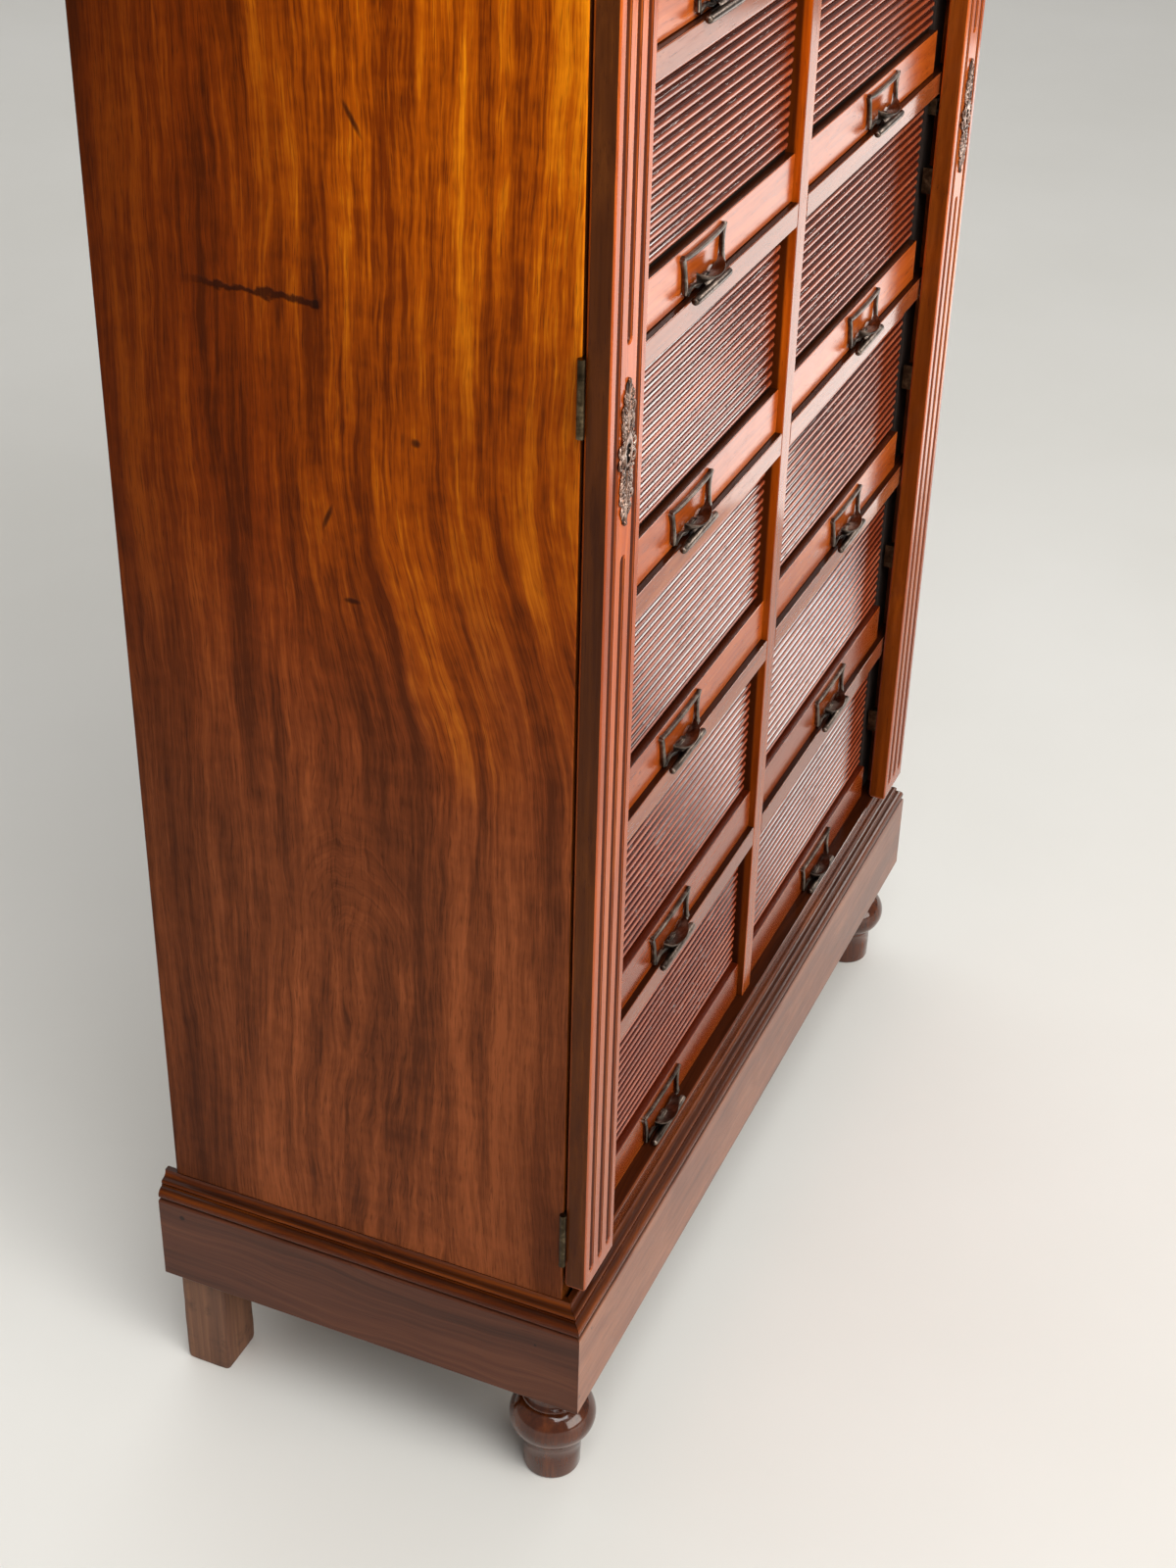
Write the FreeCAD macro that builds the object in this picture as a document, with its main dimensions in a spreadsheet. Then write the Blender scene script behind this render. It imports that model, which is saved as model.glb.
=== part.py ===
"""Tambour filing cabinet: two columns of tambour-fronted drawers in a case on a moulded plinth.

A fluted stile is hinged to each front edge of the case and closes over the ends of the drawer rails.
Millimetres, +Z up, origin on the floor under the middle of the plinth; the drawers face -Y.
"""
import FreeCAD, Part
import os
import re

Vector = FreeCAD.Vector

# Driving dimensions, in millimetres, and counts
SIZES = {
    # plinth and feet
    "plinth_width": 820, "plinth_depth": 366, "plinth_height": 79, "plinth_thickness": 22,
    "foot_height": 100, "foot_inset": 36, "foot_collar_radius": 25, "foot_collar_height": 19,
    "foot_bun_radius": 34.5, "foot_bun_height": 52, "foot_neck_radius": 21.5, "foot_toe_radius": 23,
    "rear_foot_width": 44, "rear_foot_depth": 40, "rear_foot_inset": 8,
    "corner_block_size": 84, "corner_block_height": 24,
    # mouldings round the plinth and under the top
    "moulding_height": 22, "moulding_depth": 14, "moulding_fillet": 5, "ovolo_radius": 10,
    "moulding_back": 2.5, "bead_radius": 3,
    # case
    "side_thickness": 22, "back_inset": 10, "back_thickness": 8, "back_board_count": 5,
    "divider_thickness": 19, "sill_height": 36, "bottom_thickness": 18,
    "row_count": 8, "row_pitch": 178, "rail_height": 18, "rail_depth": 20,
    "frieze_height": 28, "top_thickness": 20,
    "runner_height": 12, "runner_width": 15, "guide_depth": 20,
    # hinged lock stiles
    "stile_setback": 2.5, "stile_thickness": 16.5, "stile_width": 54, "stile_end_gap": 1.5,
    "flute_radius": 4.2, "flute_depth": 3, "flute_spacing": 15.7, "flute_stop": 16, "flute_break": 146,
    "lug_width": 8, "lug_length": 8, "lug_height": 22, "lug_level": 76,
    # butt hinges of the stiles
    "hinge_gap": 2, "hinge_length": 50, "hinge_end": 48, "hinge_count": 3,
    "knuckle_radius": 2.6, "knuckle_gap": 0.2, "leaf_thickness": 0.9, "leaf_width": 16,
    "pin_radius": 1.2, "pin_clearance": 0.05,
    # locks
    "lock_drop": 43, "lock_width": 34, "lock_height": 40, "lock_depth": 9,
    "bolt_width": 8, "bolt_height": 6, "bolt_length": 8, "bolt_clearance": 0.3,
    "keyhole_radius": 2.4, "keyhole_slot": 6, "strike_border": 4, "strike_depth": 7,
    "escutcheon_height": 98, "escutcheon_width": 28, "escutcheon_thickness": 1.5,
    # drawers
    "drawer_recess": 9, "drawer_end_gap": 1, "drawer_top_gap": 3, "running_gap": 0.3, "drawer_back_gap": 6,
    "drawer_rail_height": 33, "drawer_rail_thickness": 16, "cheek_thickness": 9,
    "drawer_floor_thickness": 6, "drawer_floor_raise": 6,
    "drawer_back_thickness": 10, "drawer_back_height": 110,
    "slat_count": 16, "slat_gap": 0.3, "tambour_gap": 5, "canvas_thickness": 1,
    # label holders with finger pulls
    "label_width": 81, "label_height": 29, "label_thickness": 1.6, "label_raise": 2,
    "window_width": 62, "window_height": 16, "window_raise": 8.5,
    "lip_width": 40, "lip_reach": 13, "lip_thickness": 2.2, "lip_raise": 9,
    "tongue_width": 14, "tongue_thickness": 2.2, "tongue_raise": 2.6,
    "bar_length": 68, "bar_radius": 3.2, "bar_clearance": 0.5,
}

doc = FreeCAD.newDocument("TambourCabinet")
sheet = doc.addObject("Spreadsheet::Sheet", "Sizes")
for index, (alias, number) in enumerate(SIZES.items(), start=1):
    sheet.set(f"A{index}", alias)
    sheet.set(f"B{index}", str(number))
    sheet.setAlias(f"B{index}", alias)
doc.recompute()

SIZE_WORD = re.compile(r"\b(" + "|".join(SIZES) + r")\b")

# Planes that several pieces share, as expressions in the sheet's names
CASE_HALF = "(plinth_width / 2 - moulding_depth)"
SIDE_INNER = f"({CASE_HALF} - side_thickness)"
DIVIDER_FACE = "(divider_thickness / 2)"
PLINTH_FRONT = "(-plinth_depth / 2)"
PLINTH_BACK = "(plinth_depth / 2)"
STILE_FRONT = f"({PLINTH_FRONT} + stile_setback)"
STILE_BACK = f"({STILE_FRONT} + stile_thickness)"
RAIL_FRONT = f"({STILE_BACK} + hinge_gap)"
SILL_FRONT = f"({PLINTH_FRONT} + moulding_depth)"
DRAWER_FRONT = f"({RAIL_FRONT} + drawer_recess)"
CASE_BACK = f"({PLINTH_BACK} - back_inset)"
BACK_INNER = f"({CASE_BACK} - back_thickness)"
PLINTH_TOP = "(foot_height + plinth_height)"
FIRST_FLOOR = f"({PLINTH_TOP} + sill_height)"
LAST_FLOOR = f"({FIRST_FLOOR} + row_count * row_pitch)"
CASE_TOP = f"({LAST_FLOOR} + frieze_height)"
STILE_INNER = f"({CASE_HALF} - stile_width)"
STILE_MIDDLE = f"({CASE_HALF} - stile_width / 2)"
STILE_LOW = f"({FIRST_FLOOR} + stile_end_gap)"
STILE_HIGH = f"({CASE_TOP} - moulding_height - stile_end_gap)"
LOCK_LEVEL = f"(({STILE_LOW} + {STILE_HIGH}) / 2 - lock_drop)"
BOLT_X = f"(({STILE_INNER} + {SIDE_INNER}) / 2)"
PIN_X = f"({CASE_HALF} + knuckle_radius + knuckle_gap)"
PIN_Y = f"({STILE_BACK} + hinge_gap / 2)"
DRAWER_INNER = f"({DIVIDER_FACE} + drawer_end_gap)"
DRAWER_OUTER = f"({STILE_INNER} - drawer_end_gap)"
DRAWER_REAR = f"({BACK_INNER} - drawer_back_gap)"
DRAWER_HEIGHT = "(row_pitch - rail_height - drawer_top_gap)"
TAMBOUR_LOW = "(drawer_rail_height + tambour_gap)"
SLAT_PITCH = f"(({DRAWER_HEIGHT} - {TAMBOUR_LOW}) / slat_count)"
SLAT_RADIUS = f"(({SLAT_PITCH} - slat_gap) / 2)"
CANVAS_FRONT = f"({DRAWER_FRONT} + {SLAT_RADIUS})"
CANVAS_BACK = f"({CANVAS_FRONT} + canvas_thickness)"
LABEL_MIDDLE = f"(({DIVIDER_FACE} + {SIDE_INNER}) / 2)"

ALONG_X = FreeCAD.Rotation(Vector(0, 0, 1), Vector(1, 0, 0))
ALONG_Y = FreeCAD.Rotation(Vector(0, 0, 1), Vector(0, 1, 0))
UPRIGHT = FreeCAD.Rotation()
# Axis along X, with the round half of a half cylinder towards -Y
HALF_ROUND = FreeCAD.Rotation(Vector(0, 0, 1), Vector(0, -1, 0), Vector(1, 0, 0), "ZXY")
SIDES = {"left": -1, "right": 1}
ROWS = range(1, SIZES["row_count"] + 1)

nodes = []


def bind(item, **expressions):
    """Ties properties to expressions in the sheet's names; Base_x stands for Placement.Base.x."""
    for name, expression in expressions.items():
        path = f"Placement.Base.{name[-1]}" if name.startswith("Base_") else name
        item.setExpression(path, SIZE_WORD.sub(r"Sizes.\1", str(expression)))
    return item


def slab(name, x, y, z):
    """A box between pairs of planes."""
    item = doc.addObject("Part::Box", name)
    spans = {"Length": x, "Width": y, "Height": z}
    bind(item, **{size: f"({high}) - ({low})" for size, (low, high) in spans.items()})
    return bind(item, Base_x=x[0], Base_y=y[0], Base_z=z[0])


def round_bar(name, start, length, radius, turn=UPRIGHT, angle=360):
    """A cylinder, or part of one, from its start point along its turned axis."""
    item = doc.addObject("Part::Cylinder", name)
    item.Placement = FreeCAD.Placement(Vector(), turn)
    item.Angle = angle
    bind(item, Radius=radius, Height=length)
    return bind(item, Base_x=start[0], Base_y=start[1], Base_z=start[2])


def fuse(name, pieces):
    item = doc.addObject("Part::MultiFuse", name)
    item.Shapes = pieces
    return item


def cut(name, base, tool):
    item = doc.addObject("Part::Cut", name)
    item.Base = base
    item.Tool = tool
    return item


def node(label, pieces):
    """Registers a sub-part: one solid, or several that stay separate."""
    item = pieces[0]
    if len(pieces) > 1:
        item = doc.addObject("Part::Compound", "group_" + label)
        item.Links = pieces
    item.Label = label
    nodes.append(item)


def on_side(sign, low, high):
    """A span of distances from the middle, on the left (-1) or right (+1)."""
    return (low, high) if sign > 0 else (f"-({high})", f"-({low})")


def row_floor(row):
    """Height of the top of the rail under a row; row 1 is the lowest."""
    return f"({FIRST_FLOOR} + {row - 1} * row_pitch)"


def mitred_board(name, length, depth, height, near_mitre, far_mitre):
    """A board along X with its face towards -Y, whose chosen ends are cut back over its thickness."""
    item = doc.addObject("Part::Wedge", name)
    item.Xmin = item.Ymin = item.Zmin = item.Z2min = 0
    bind(item, Xmax=length, Ymax=depth, Zmax=height, Z2max=height)
    bind(item, X2min=depth if near_mitre else "0")
    return bind(item, X2max=f"{length} - {depth}" if far_mitre else length)


def set_round_case(item, side, level):
    """Turns a length made along X to an edge of the plinth's outline: front, left, right or back."""
    turns = {"front": 0, "left": -90, "right": 90, "back": 180}
    corners = {
        "front": ("-plinth_width / 2", PLINTH_FRONT), "left": ("-plinth_width / 2", PLINTH_BACK),
        "right": ("plinth_width / 2", PLINTH_FRONT), "back": ("plinth_width / 2", PLINTH_BACK),
    }
    item.Placement = FreeCAD.Placement(Vector(), FreeCAD.Rotation(Vector(0, 0, 1), turns[side]))
    return bind(item, Base_x=corners[side][0], Base_y=corners[side][1], Base_z=level)


def plinth():
    boards = []
    for side, length in (("front", "plinth_width"), ("left", "plinth_depth"),
                         ("right", "plinth_depth"), ("back", "plinth_width")):
        board = mitred_board(f"plinth_{side}", length, "plinth_thickness", "plinth_height", True, True)
        boards.append(set_round_case(board, side, "foot_height"))
    inner_x = "(plinth_width / 2 - plinth_thickness)"
    inner_y = "(plinth_depth / 2 - plinth_thickness)"
    for x_side, x_sign in SIDES.items():
        for y_side, y_sign in (("front", -1), ("back", 1)):
            boards.append(slab(f"corner_block_{x_side}_{y_side}",
                               on_side(x_sign, f"{inner_x} - corner_block_size", inner_x),
                               on_side(y_sign, f"{inner_y} - corner_block_size", inner_y),
                               ("foot_height", "foot_height + corner_block_height")))
    node("plinth_frame", boards)


def moulding(label, level, upside_down):
    """Mitred lengths of fillet, ovolo and bead along the front and sides."""
    def height(z):
        return f"(moulding_height - {z})" if upside_down else f"({z})"

    def span(low, high):
        return (height(high), height(low)) if upside_down else (height(low), height(high))

    lengths = []
    for side, length, near, far in (("front", "plinth_width", True, True),
                                    ("left", "plinth_depth", False, True),
                                    ("right", "plinth_depth", True, False)):
        name = f"{label}_{side}"
        along = ("0", length)
        bar = fuse(name + "_bar", [
            slab(name + "_fillet", along, ("0", "moulding_depth"), span("0", "moulding_fillet")),
            round_bar(name + "_ovolo", ("0", "moulding_depth", height("moulding_fillet")), length,
                      "ovolo_radius", ALONG_X),
            slab(name + "_back", along, ("moulding_depth - moulding_back", "moulding_depth"),
                 span("0", "moulding_height")),
            round_bar(name + "_bead",
                      ("0", "moulding_depth - moulding_back", height("moulding_height - bead_radius")),
                      length, "bead_radius", ALONG_X),
        ])
        mitred = doc.addObject("Part::Common", name)
        mitred.Base = bar
        mitred.Tool = mitred_board(name + "_mitre", length, "moulding_depth", "moulding_height", near, far)
        lengths.append(set_round_case(mitred, side, level))
    node(label, lengths)


def feet():
    """Turned bun feet in front, plain square blocks behind."""
    fronts, rears = [], []
    bun_middle = "(foot_height - foot_collar_height - foot_bun_height / 2)"
    for side, sign in SIDES.items():
        x = f"{sign} * (plinth_width / 2 - foot_inset)"
        y = f"{PLINTH_FRONT} + foot_inset"
        collar = round_bar(f"foot_collar_{side}", (x, y, bun_middle), f"foot_height - {bun_middle}",
                           "foot_collar_radius")
        bun = doc.addObject("Part::Sphere", f"foot_bun_{side}")
        flat = "asin(foot_bun_height / 2 / foot_bun_radius)"
        bind(bun, Radius="foot_bun_radius", Angle1=f"-{flat}", Angle2=flat)
        bind(bun, Base_x=x, Base_y=y, Base_z=bun_middle)
        toe = doc.addObject("Part::Cone", f"foot_toe_{side}")
        bind(toe, Radius1="foot_toe_radius", Radius2="foot_neck_radius", Height=bun_middle)
        bind(toe, Base_x=x, Base_y=y)
        fronts.append(fuse(f"front_foot_{side}", [collar, bun, toe]))
        outer = "(plinth_width / 2 - rear_foot_inset)"
        back = f"({PLINTH_BACK} - rear_foot_inset)"
        rears.append(slab(f"rear_foot_{side}", on_side(sign, f"{outer} - rear_foot_width", outer),
                          (f"{back} - rear_foot_depth", back), ("0", "foot_height")))
    node("front_feet", fronts)
    node("rear_feet", rears)


def case():
    """Sides, bottom, top, back boards and the divider between the columns."""
    node("side_panels", [slab(f"side_panel_{side}", on_side(sign, SIDE_INNER, CASE_HALF),
                              (RAIL_FRONT, CASE_BACK), (PLINTH_TOP, CASE_TOP))
                         for side, sign in SIDES.items()])
    across = (f"-{SIDE_INNER}", SIDE_INNER)
    node("bottom_board", [slab("bottom_board", across, (SILL_FRONT, BACK_INNER),
                               (f"{FIRST_FLOOR} - bottom_thickness", FIRST_FLOOR))])
    node("top_board", [slab("top_board", ("-plinth_width / 2", "plinth_width / 2"),
                            (PLINTH_FRONT, PLINTH_BACK), (CASE_TOP, f"{CASE_TOP} + top_thickness"))])
    board = f"(2 * {SIDE_INNER} / back_board_count)"
    edges = [f"-{SIDE_INNER} + {i} * {board}" for i in range(SIZES["back_board_count"] + 1)]
    node("back_boards", [slab(f"back_board_{i}", span, (BACK_INNER, CASE_BACK), (PLINTH_TOP, CASE_TOP))
                         for i, span in enumerate(zip(edges, edges[1:]))])
    node("centre_divider", [slab("centre_divider", (f"-{DIVIDER_FACE}", DIVIDER_FACE),
                                 (RAIL_FRONT, BACK_INNER), (FIRST_FLOOR, LAST_FLOOR))])


def drawer_frame():
    """Rails over each row, the frieze, runners under the drawers and guides at their outer ends."""
    rails = [slab("frieze_rail", (f"-{SIDE_INNER}", SIDE_INNER), (RAIL_FRONT, f"{RAIL_FRONT} + rail_depth"),
                  (LAST_FLOOR, CASE_TOP))]
    runners, guides = [], []
    rail_back = f"({RAIL_FRONT} + rail_depth)"
    guide_face = f"({DRAWER_OUTER} + drawer_end_gap)"
    for side, sign in SIDES.items():
        for row in ROWS:
            floor, ceiling = row_floor(row), row_floor(row + 1)
            name = f"{side}_{row}"
            rails.append(slab(f"rail_{name}", on_side(sign, DIVIDER_FACE, SIDE_INNER),
                              (RAIL_FRONT, rail_back), (f"{ceiling} - rail_height", ceiling)))
            guides.append(slab(f"guide_{name}", on_side(sign, guide_face, SIDE_INNER),
                               (DRAWER_FRONT, f"{DRAWER_FRONT} + guide_depth"),
                               (floor, f"{ceiling} - rail_height")))
            if row == 1:
                continue
            for part, low, high in (("inner", DIVIDER_FACE, f"{DIVIDER_FACE} + runner_width"),
                                    ("outer", f"{guide_face} - runner_width", SIDE_INNER)):
                runners.append(slab(f"runner_{name}_{part}", on_side(sign, low, high),
                                    (rail_back, BACK_INNER), (f"{floor} - runner_height", floor)))
    node("drawer_rails", rails)
    node("drawer_runners", runners)
    node("guide_posts", guides)


def hinge_level(place):
    """Middle height of one of the hinges, which are spread evenly between the ends of the stile."""
    low = f"({STILE_LOW} + hinge_end)"
    high = f"({STILE_HIGH} - hinge_end)"
    return f"({low} + ({high} - {low}) * {place} / (hinge_count - 1))"


def hinge_leaf(name, sign, level, on_stile):
    """A leaf with its knuckles: the stile's leaf has the long middle knuckle, the case's the two end ones."""
    x, y = f"{sign} * {PIN_X}", PIN_Y
    low, high = f"({level} - hinge_length / 2)", f"({level} + hinge_length / 2)"
    joint = "hinge_length / 4"
    if on_stile:
        depth = (STILE_BACK, f"{STILE_BACK} + leaf_thickness")
        inset = f"{joint} + knuckle_gap"
        own = [(f"{low} + {inset}", f"{high} - ({inset})")]
        cleared = [(low, f"{low} + {inset}"), (f"{high} - ({inset})", high)]
    else:
        depth = (f"{RAIL_FRONT} - leaf_thickness", RAIL_FRONT)
        own = [(low, f"{low} + {joint}"), (f"{high} - {joint}", high)]
        cleared = [(f"{low} + {joint}", f"{high} - {joint}")]
    plate = slab(name + "_plate", on_side(sign, f"{CASE_HALF} - leaf_width", PIN_X), depth, (low, high))
    barrels = [round_bar(f"{name}_knuckle_{i}", (x, y, start), f"({end}) - ({start})", "knuckle_radius")
               for i, (start, end) in enumerate(own)]
    clear_radius = "knuckle_radius + knuckle_gap"
    relief = [round_bar(f"{name}_relief_{i}", (x, y, start), f"({end}) - ({start})", clear_radius)
              for i, (start, end) in enumerate(cleared)]
    bore = round_bar(name + "_bore", (x, y, low), "hinge_length", "pin_radius + pin_clearance")
    return cut(name, fuse(name + "_blank", [plate] + barrels), fuse(name + "_cuts", relief + [bore]))


def hinges():
    case_leaves, pins = [], []
    for side, sign in SIDES.items():
        stile_leaves = []
        for place in range(SIZES["hinge_count"]):
            level = hinge_level(place)
            case_leaves.append(hinge_leaf(f"case_leaf_{side}_{place}", sign, level, False))
            stile_leaves.append(hinge_leaf(f"stile_leaf_{side}_{place}", sign, level, True))
            foot = (f"{sign} * {PIN_X}", PIN_Y, f"{level} - hinge_length / 2")
            pins.append(round_bar(f"hinge_pin_{side}_{place}", foot, "hinge_length", "pin_radius"))
        node(f"{side}_stile_hinge_leaves", stile_leaves)
    node("hinge_case_leaves", case_leaves)
    node("hinge_pins", pins)


def flute(name, x, low, high):
    """A round-ended groove cutter between two heights."""
    y = f"({STILE_FRONT} - flute_radius + flute_depth)"
    bar = round_bar(name + "_bar", (x, y, f"({low}) + flute_radius"),
                    f"({high}) - ({low}) - 2 * flute_radius", "flute_radius")
    ends = []
    for end, z in (("low", f"({low}) + flute_radius"), ("high", f"({high}) - flute_radius")):
        ball = doc.addObject("Part::Sphere", f"{name}_{end}")
        ends.append(bind(ball, Radius="flute_radius", Base_x=x, Base_y=y, Base_z=z))
    return fuse(name, [bar] + ends)


def lock_stile(side, sign):
    """Fluted stile; the middle flute stops short of the escutcheon. The lock sits in a pocket in its back."""
    board = slab(f"stile_board_{side}", on_side(sign, STILE_INNER, CASE_HALF), (STILE_FRONT, STILE_BACK),
                 (STILE_LOW, STILE_HIGH))
    low, high = f"{STILE_LOW} + flute_stop", f"{STILE_HIGH} - flute_stop"
    flutes = [
        flute(f"flute_{side}_inner", f"{sign} * ({STILE_MIDDLE} - flute_spacing)", low, high),
        flute(f"flute_{side}_outer", f"{sign} * ({STILE_MIDDLE} + flute_spacing)", low, high),
        flute(f"flute_{side}_below", f"{sign} * {STILE_MIDDLE}", low, f"{LOCK_LEVEL} - flute_break / 2"),
        flute(f"flute_{side}_above", f"{sign} * {STILE_MIDDLE}", f"{LOCK_LEVEL} + flute_break / 2", high),
    ]
    pocket = lock_box(f"lock_pocket_{side}", sign)
    keyhole = keyhole_cutter(f"stile_keyhole_{side}", sign)
    hollows = fuse(f"stile_cuts_{side}", flutes + [pocket, keyhole])
    node(f"{side}_lock_stile", [cut(f"{side}_lock_stile", board, hollows)])


def lock_box(name, sign):
    """The outside of the lock, flush with the back of the stile."""
    return slab(name, on_side(sign, f"{STILE_MIDDLE} - lock_width / 2", f"{STILE_MIDDLE} + lock_width / 2"),
                (f"{STILE_BACK} - lock_depth", STILE_BACK),
                (f"{LOCK_LEVEL} - lock_height / 2", f"{LOCK_LEVEL} + lock_height / 2"))


def keyhole_cutter(name, sign):
    """Round eye with a slot below it, from the escutcheon's face to the lock."""
    x = f"{sign} * {STILE_MIDDLE}"
    depth = "(stile_thickness - lock_depth + escutcheon_thickness)"
    front = f"{STILE_FRONT} - escutcheon_thickness"
    eye = round_bar(name + "_eye", (x, front, LOCK_LEVEL), depth, "keyhole_radius", ALONG_Y)
    slot = slab(name + "_slot", (f"{x} - keyhole_radius / 2", f"{x} + keyhole_radius / 2"),
                (front, f"{front} + {depth}"), (f"{LOCK_LEVEL} - keyhole_slot", LOCK_LEVEL))
    return fuse(name, [eye, slot])


def bolt_block(name, sign, margin, depth, level):
    """A block with the bolt's section, grown by a margin."""
    half_x, half_z = f"(bolt_width / 2 + {margin})", f"(bolt_height / 2 + {margin})"
    return slab(name, on_side(sign, f"{BOLT_X} - {half_x}", f"{BOLT_X} + {half_x}"), depth,
                (f"{level} - {half_z}", f"{level} + {half_z}"))


def lock(side, sign):
    """Lock case with its bolt, which shoots back into a strike on the guide post."""
    bolt_level = f"({LOCK_LEVEL} + lock_height / 4)"
    slot_depth = (f"{STILE_BACK} - bolt_length - bolt_clearance", STILE_BACK)
    slot = bolt_block(f"bolt_slot_{side}", sign, "bolt_clearance", slot_depth, bolt_level)
    node(f"{side}_lock_case", [cut(f"{side}_lock_case", lock_box(f"lock_body_{side}", sign), slot)])
    node(f"{side}_lock_bolt", [bolt_block(f"{side}_lock_bolt", sign, "0",
                                          (f"{STILE_BACK} - bolt_length", STILE_BACK), bolt_level)])
    strike_span = (f"{DRAWER_FRONT} - strike_depth", DRAWER_FRONT)
    body = bolt_block(f"strike_body_{side}", sign, "strike_border", strike_span, bolt_level)
    mouth = bolt_block(f"strike_mouth_{side}", sign, "bolt_clearance", strike_span, bolt_level)
    return cut(f"strike_{side}", body, mouth)


def escutcheon(side, sign):
    """Cast plate: a round boss with two dwindling leaves above and below, pierced by the keyhole."""
    x, front = f"{sign} * {STILE_MIDDLE}", f"{STILE_FRONT} - escutcheon_thickness"
    discs = []
    for i, (place, share) in enumerate(((0, 1.0), (0.24, 0.72), (-0.24, 0.72), (0.4, 0.42), (-0.4, 0.42))):
        middle = (x, front, f"{LOCK_LEVEL} + {place} * escutcheon_height")
        discs.append(round_bar(f"escutcheon_{side}_{i}", middle, "escutcheon_thickness",
                               f"{share} * escutcheon_width / 2", ALONG_Y))
    stem = slab(f"escutcheon_{side}_stem", (f"{x} - escutcheon_width / 8", f"{x} + escutcheon_width / 8"),
                (front, STILE_FRONT),
                (f"{LOCK_LEVEL} - escutcheon_height / 2", f"{LOCK_LEVEL} + escutcheon_height / 2"))
    keyhole = keyhole_cutter(f"escutcheon_keyhole_{side}", sign)
    plate = fuse(f"escutcheon_plate_{side}", discs + [stem])
    node(f"{side}_escutcheon", [cut(f"{side}_escutcheon", plate, keyhole)])


def lock_lugs(side, sign):
    """Lugs on the back of the stile, one beside each drawer."""
    inner = f"({STILE_INNER} + drawer_end_gap)"
    lugs = []
    for row in ROWS:
        low = f"({row_floor(row)} + lug_level)"
        lugs.append(slab(f"lug_{side}_{row}", on_side(sign, inner, f"{inner} + lug_width"),
                         (STILE_BACK, f"{STILE_BACK} + lug_length"), (low, f"{low} + lug_height")))
    node(f"{side}_lock_lugs", lugs)


def tambour_drawer(side, sign, row):
    """Tray with a flat front rail and a tambour of half-round slats on canvas above it."""
    name = f"drawer_{side}_{row}"
    floor = f"({row_floor(row)} + running_gap)"
    top = f"({row_floor(row)} + {DRAWER_HEIGHT})"
    width = on_side(sign, DRAWER_INNER, DRAWER_OUTER)
    inside = on_side(sign, f"{DRAWER_INNER} + cheek_thickness", f"{DRAWER_OUTER} - cheek_thickness")
    rail_back = f"({DRAWER_FRONT} + drawer_rail_thickness)"
    rail_top = f"({row_floor(row)} + drawer_rail_height)"
    tray_floor = f"({floor} + drawer_floor_raise)"
    rail = fuse(name + "_rail", [
        slab(name + "_rail_face", width, (DRAWER_FRONT, CANVAS_BACK), (floor, rail_top)),
        slab(name + "_rail_core", inside, (CANVAS_BACK, rail_back), (floor, rail_top)),
    ])
    inner_back = f"({DRAWER_REAR} - drawer_back_thickness)"
    pieces = [
        rail,
        slab(name + "_inner_cheek", on_side(sign, DRAWER_INNER, f"{DRAWER_INNER} + cheek_thickness"),
             (CANVAS_BACK, DRAWER_REAR), (floor, top)),
        slab(name + "_outer_cheek", on_side(sign, f"{DRAWER_OUTER} - cheek_thickness", DRAWER_OUTER),
             (CANVAS_BACK, DRAWER_REAR), (floor, top)),
        slab(name + "_floor", inside, (rail_back, inner_back),
             (tray_floor, f"{tray_floor} + drawer_floor_thickness")),
        slab(name + "_back", inside, (inner_back, DRAWER_REAR),
             (tray_floor, f"{tray_floor} + drawer_back_height")),
        slab(name + "_canvas", width, (CANVAS_FRONT, CANVAS_BACK), (rail_top, top)),
    ]
    for i in range(SIZES["slat_count"]):
        middle = f"{row_floor(row)} + {TAMBOUR_LOW} + ({i} + 0.5) * {SLAT_PITCH}"
        pieces.append(round_bar(f"{name}_slat_{i}", (width[0], CANVAS_FRONT, middle),
                                f"({width[1]}) - ({width[0]})", SLAT_RADIUS, HALF_ROUND, 180))
    node(f"tambour_drawer_{side}_{row}", pieces)


def label_pull(side, sign, row):
    """Label frame on the drawer rail, with a rounded lip under its window and a finger bar below it."""
    name = f"pull_{side}_{row}"
    middle = f"{sign} * {LABEL_MIDDLE}"
    front = f"({DRAWER_FRONT} - label_thickness)"
    low = f"({row_floor(row)} + label_raise)"
    bar_y = f"({RAIL_FRONT} - bar_clearance - bar_radius)"
    tongue_low = f"({row_floor(row)} + tongue_raise)"

    def across(width):
        return (f"{middle} - {width} / 2", f"{middle} + {width} / 2")

    frame = cut(name + "_frame",
                slab(name + "_plate", across("label_width"), (front, DRAWER_FRONT),
                     (low, f"{low} + label_height")),
                slab(name + "_window", across("window_width"), (front, DRAWER_FRONT),
                     (f"{low} + window_raise", f"{low} + window_raise + window_height")))
    lip_low = f"({row_floor(row)} + lip_raise)"
    curve = "((lip_width ^ 2 / 4 + lip_reach ^ 2) / (2 * lip_reach))"
    lip = doc.addObject("Part::Common", name + "_lip")
    lip.Base = round_bar(name + "_lip_disc", (middle, f"{front} - lip_reach + {curve}", lip_low),
                         "lip_thickness", curve)
    lip.Tool = slab(name + "_lip_limit", across("lip_width"), (f"{front} - lip_reach", DRAWER_FRONT),
                    (lip_low, f"{lip_low} + lip_thickness"))
    tongue = slab(name + "_tongue", across("tongue_width"), (bar_y, DRAWER_FRONT),
                  (tongue_low, f"{tongue_low} + tongue_thickness"))
    bar_end = (f"{middle} - bar_length / 2", bar_y, f"{tongue_low} + tongue_thickness / 2")
    bar = round_bar(name + "_bar", bar_end, "bar_length", "bar_radius", ALONG_X)
    node(f"label_pull_{side}_{row}", [fuse(f"label_pull_{side}_{row}", [frame, lip, tongue, bar])])


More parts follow.
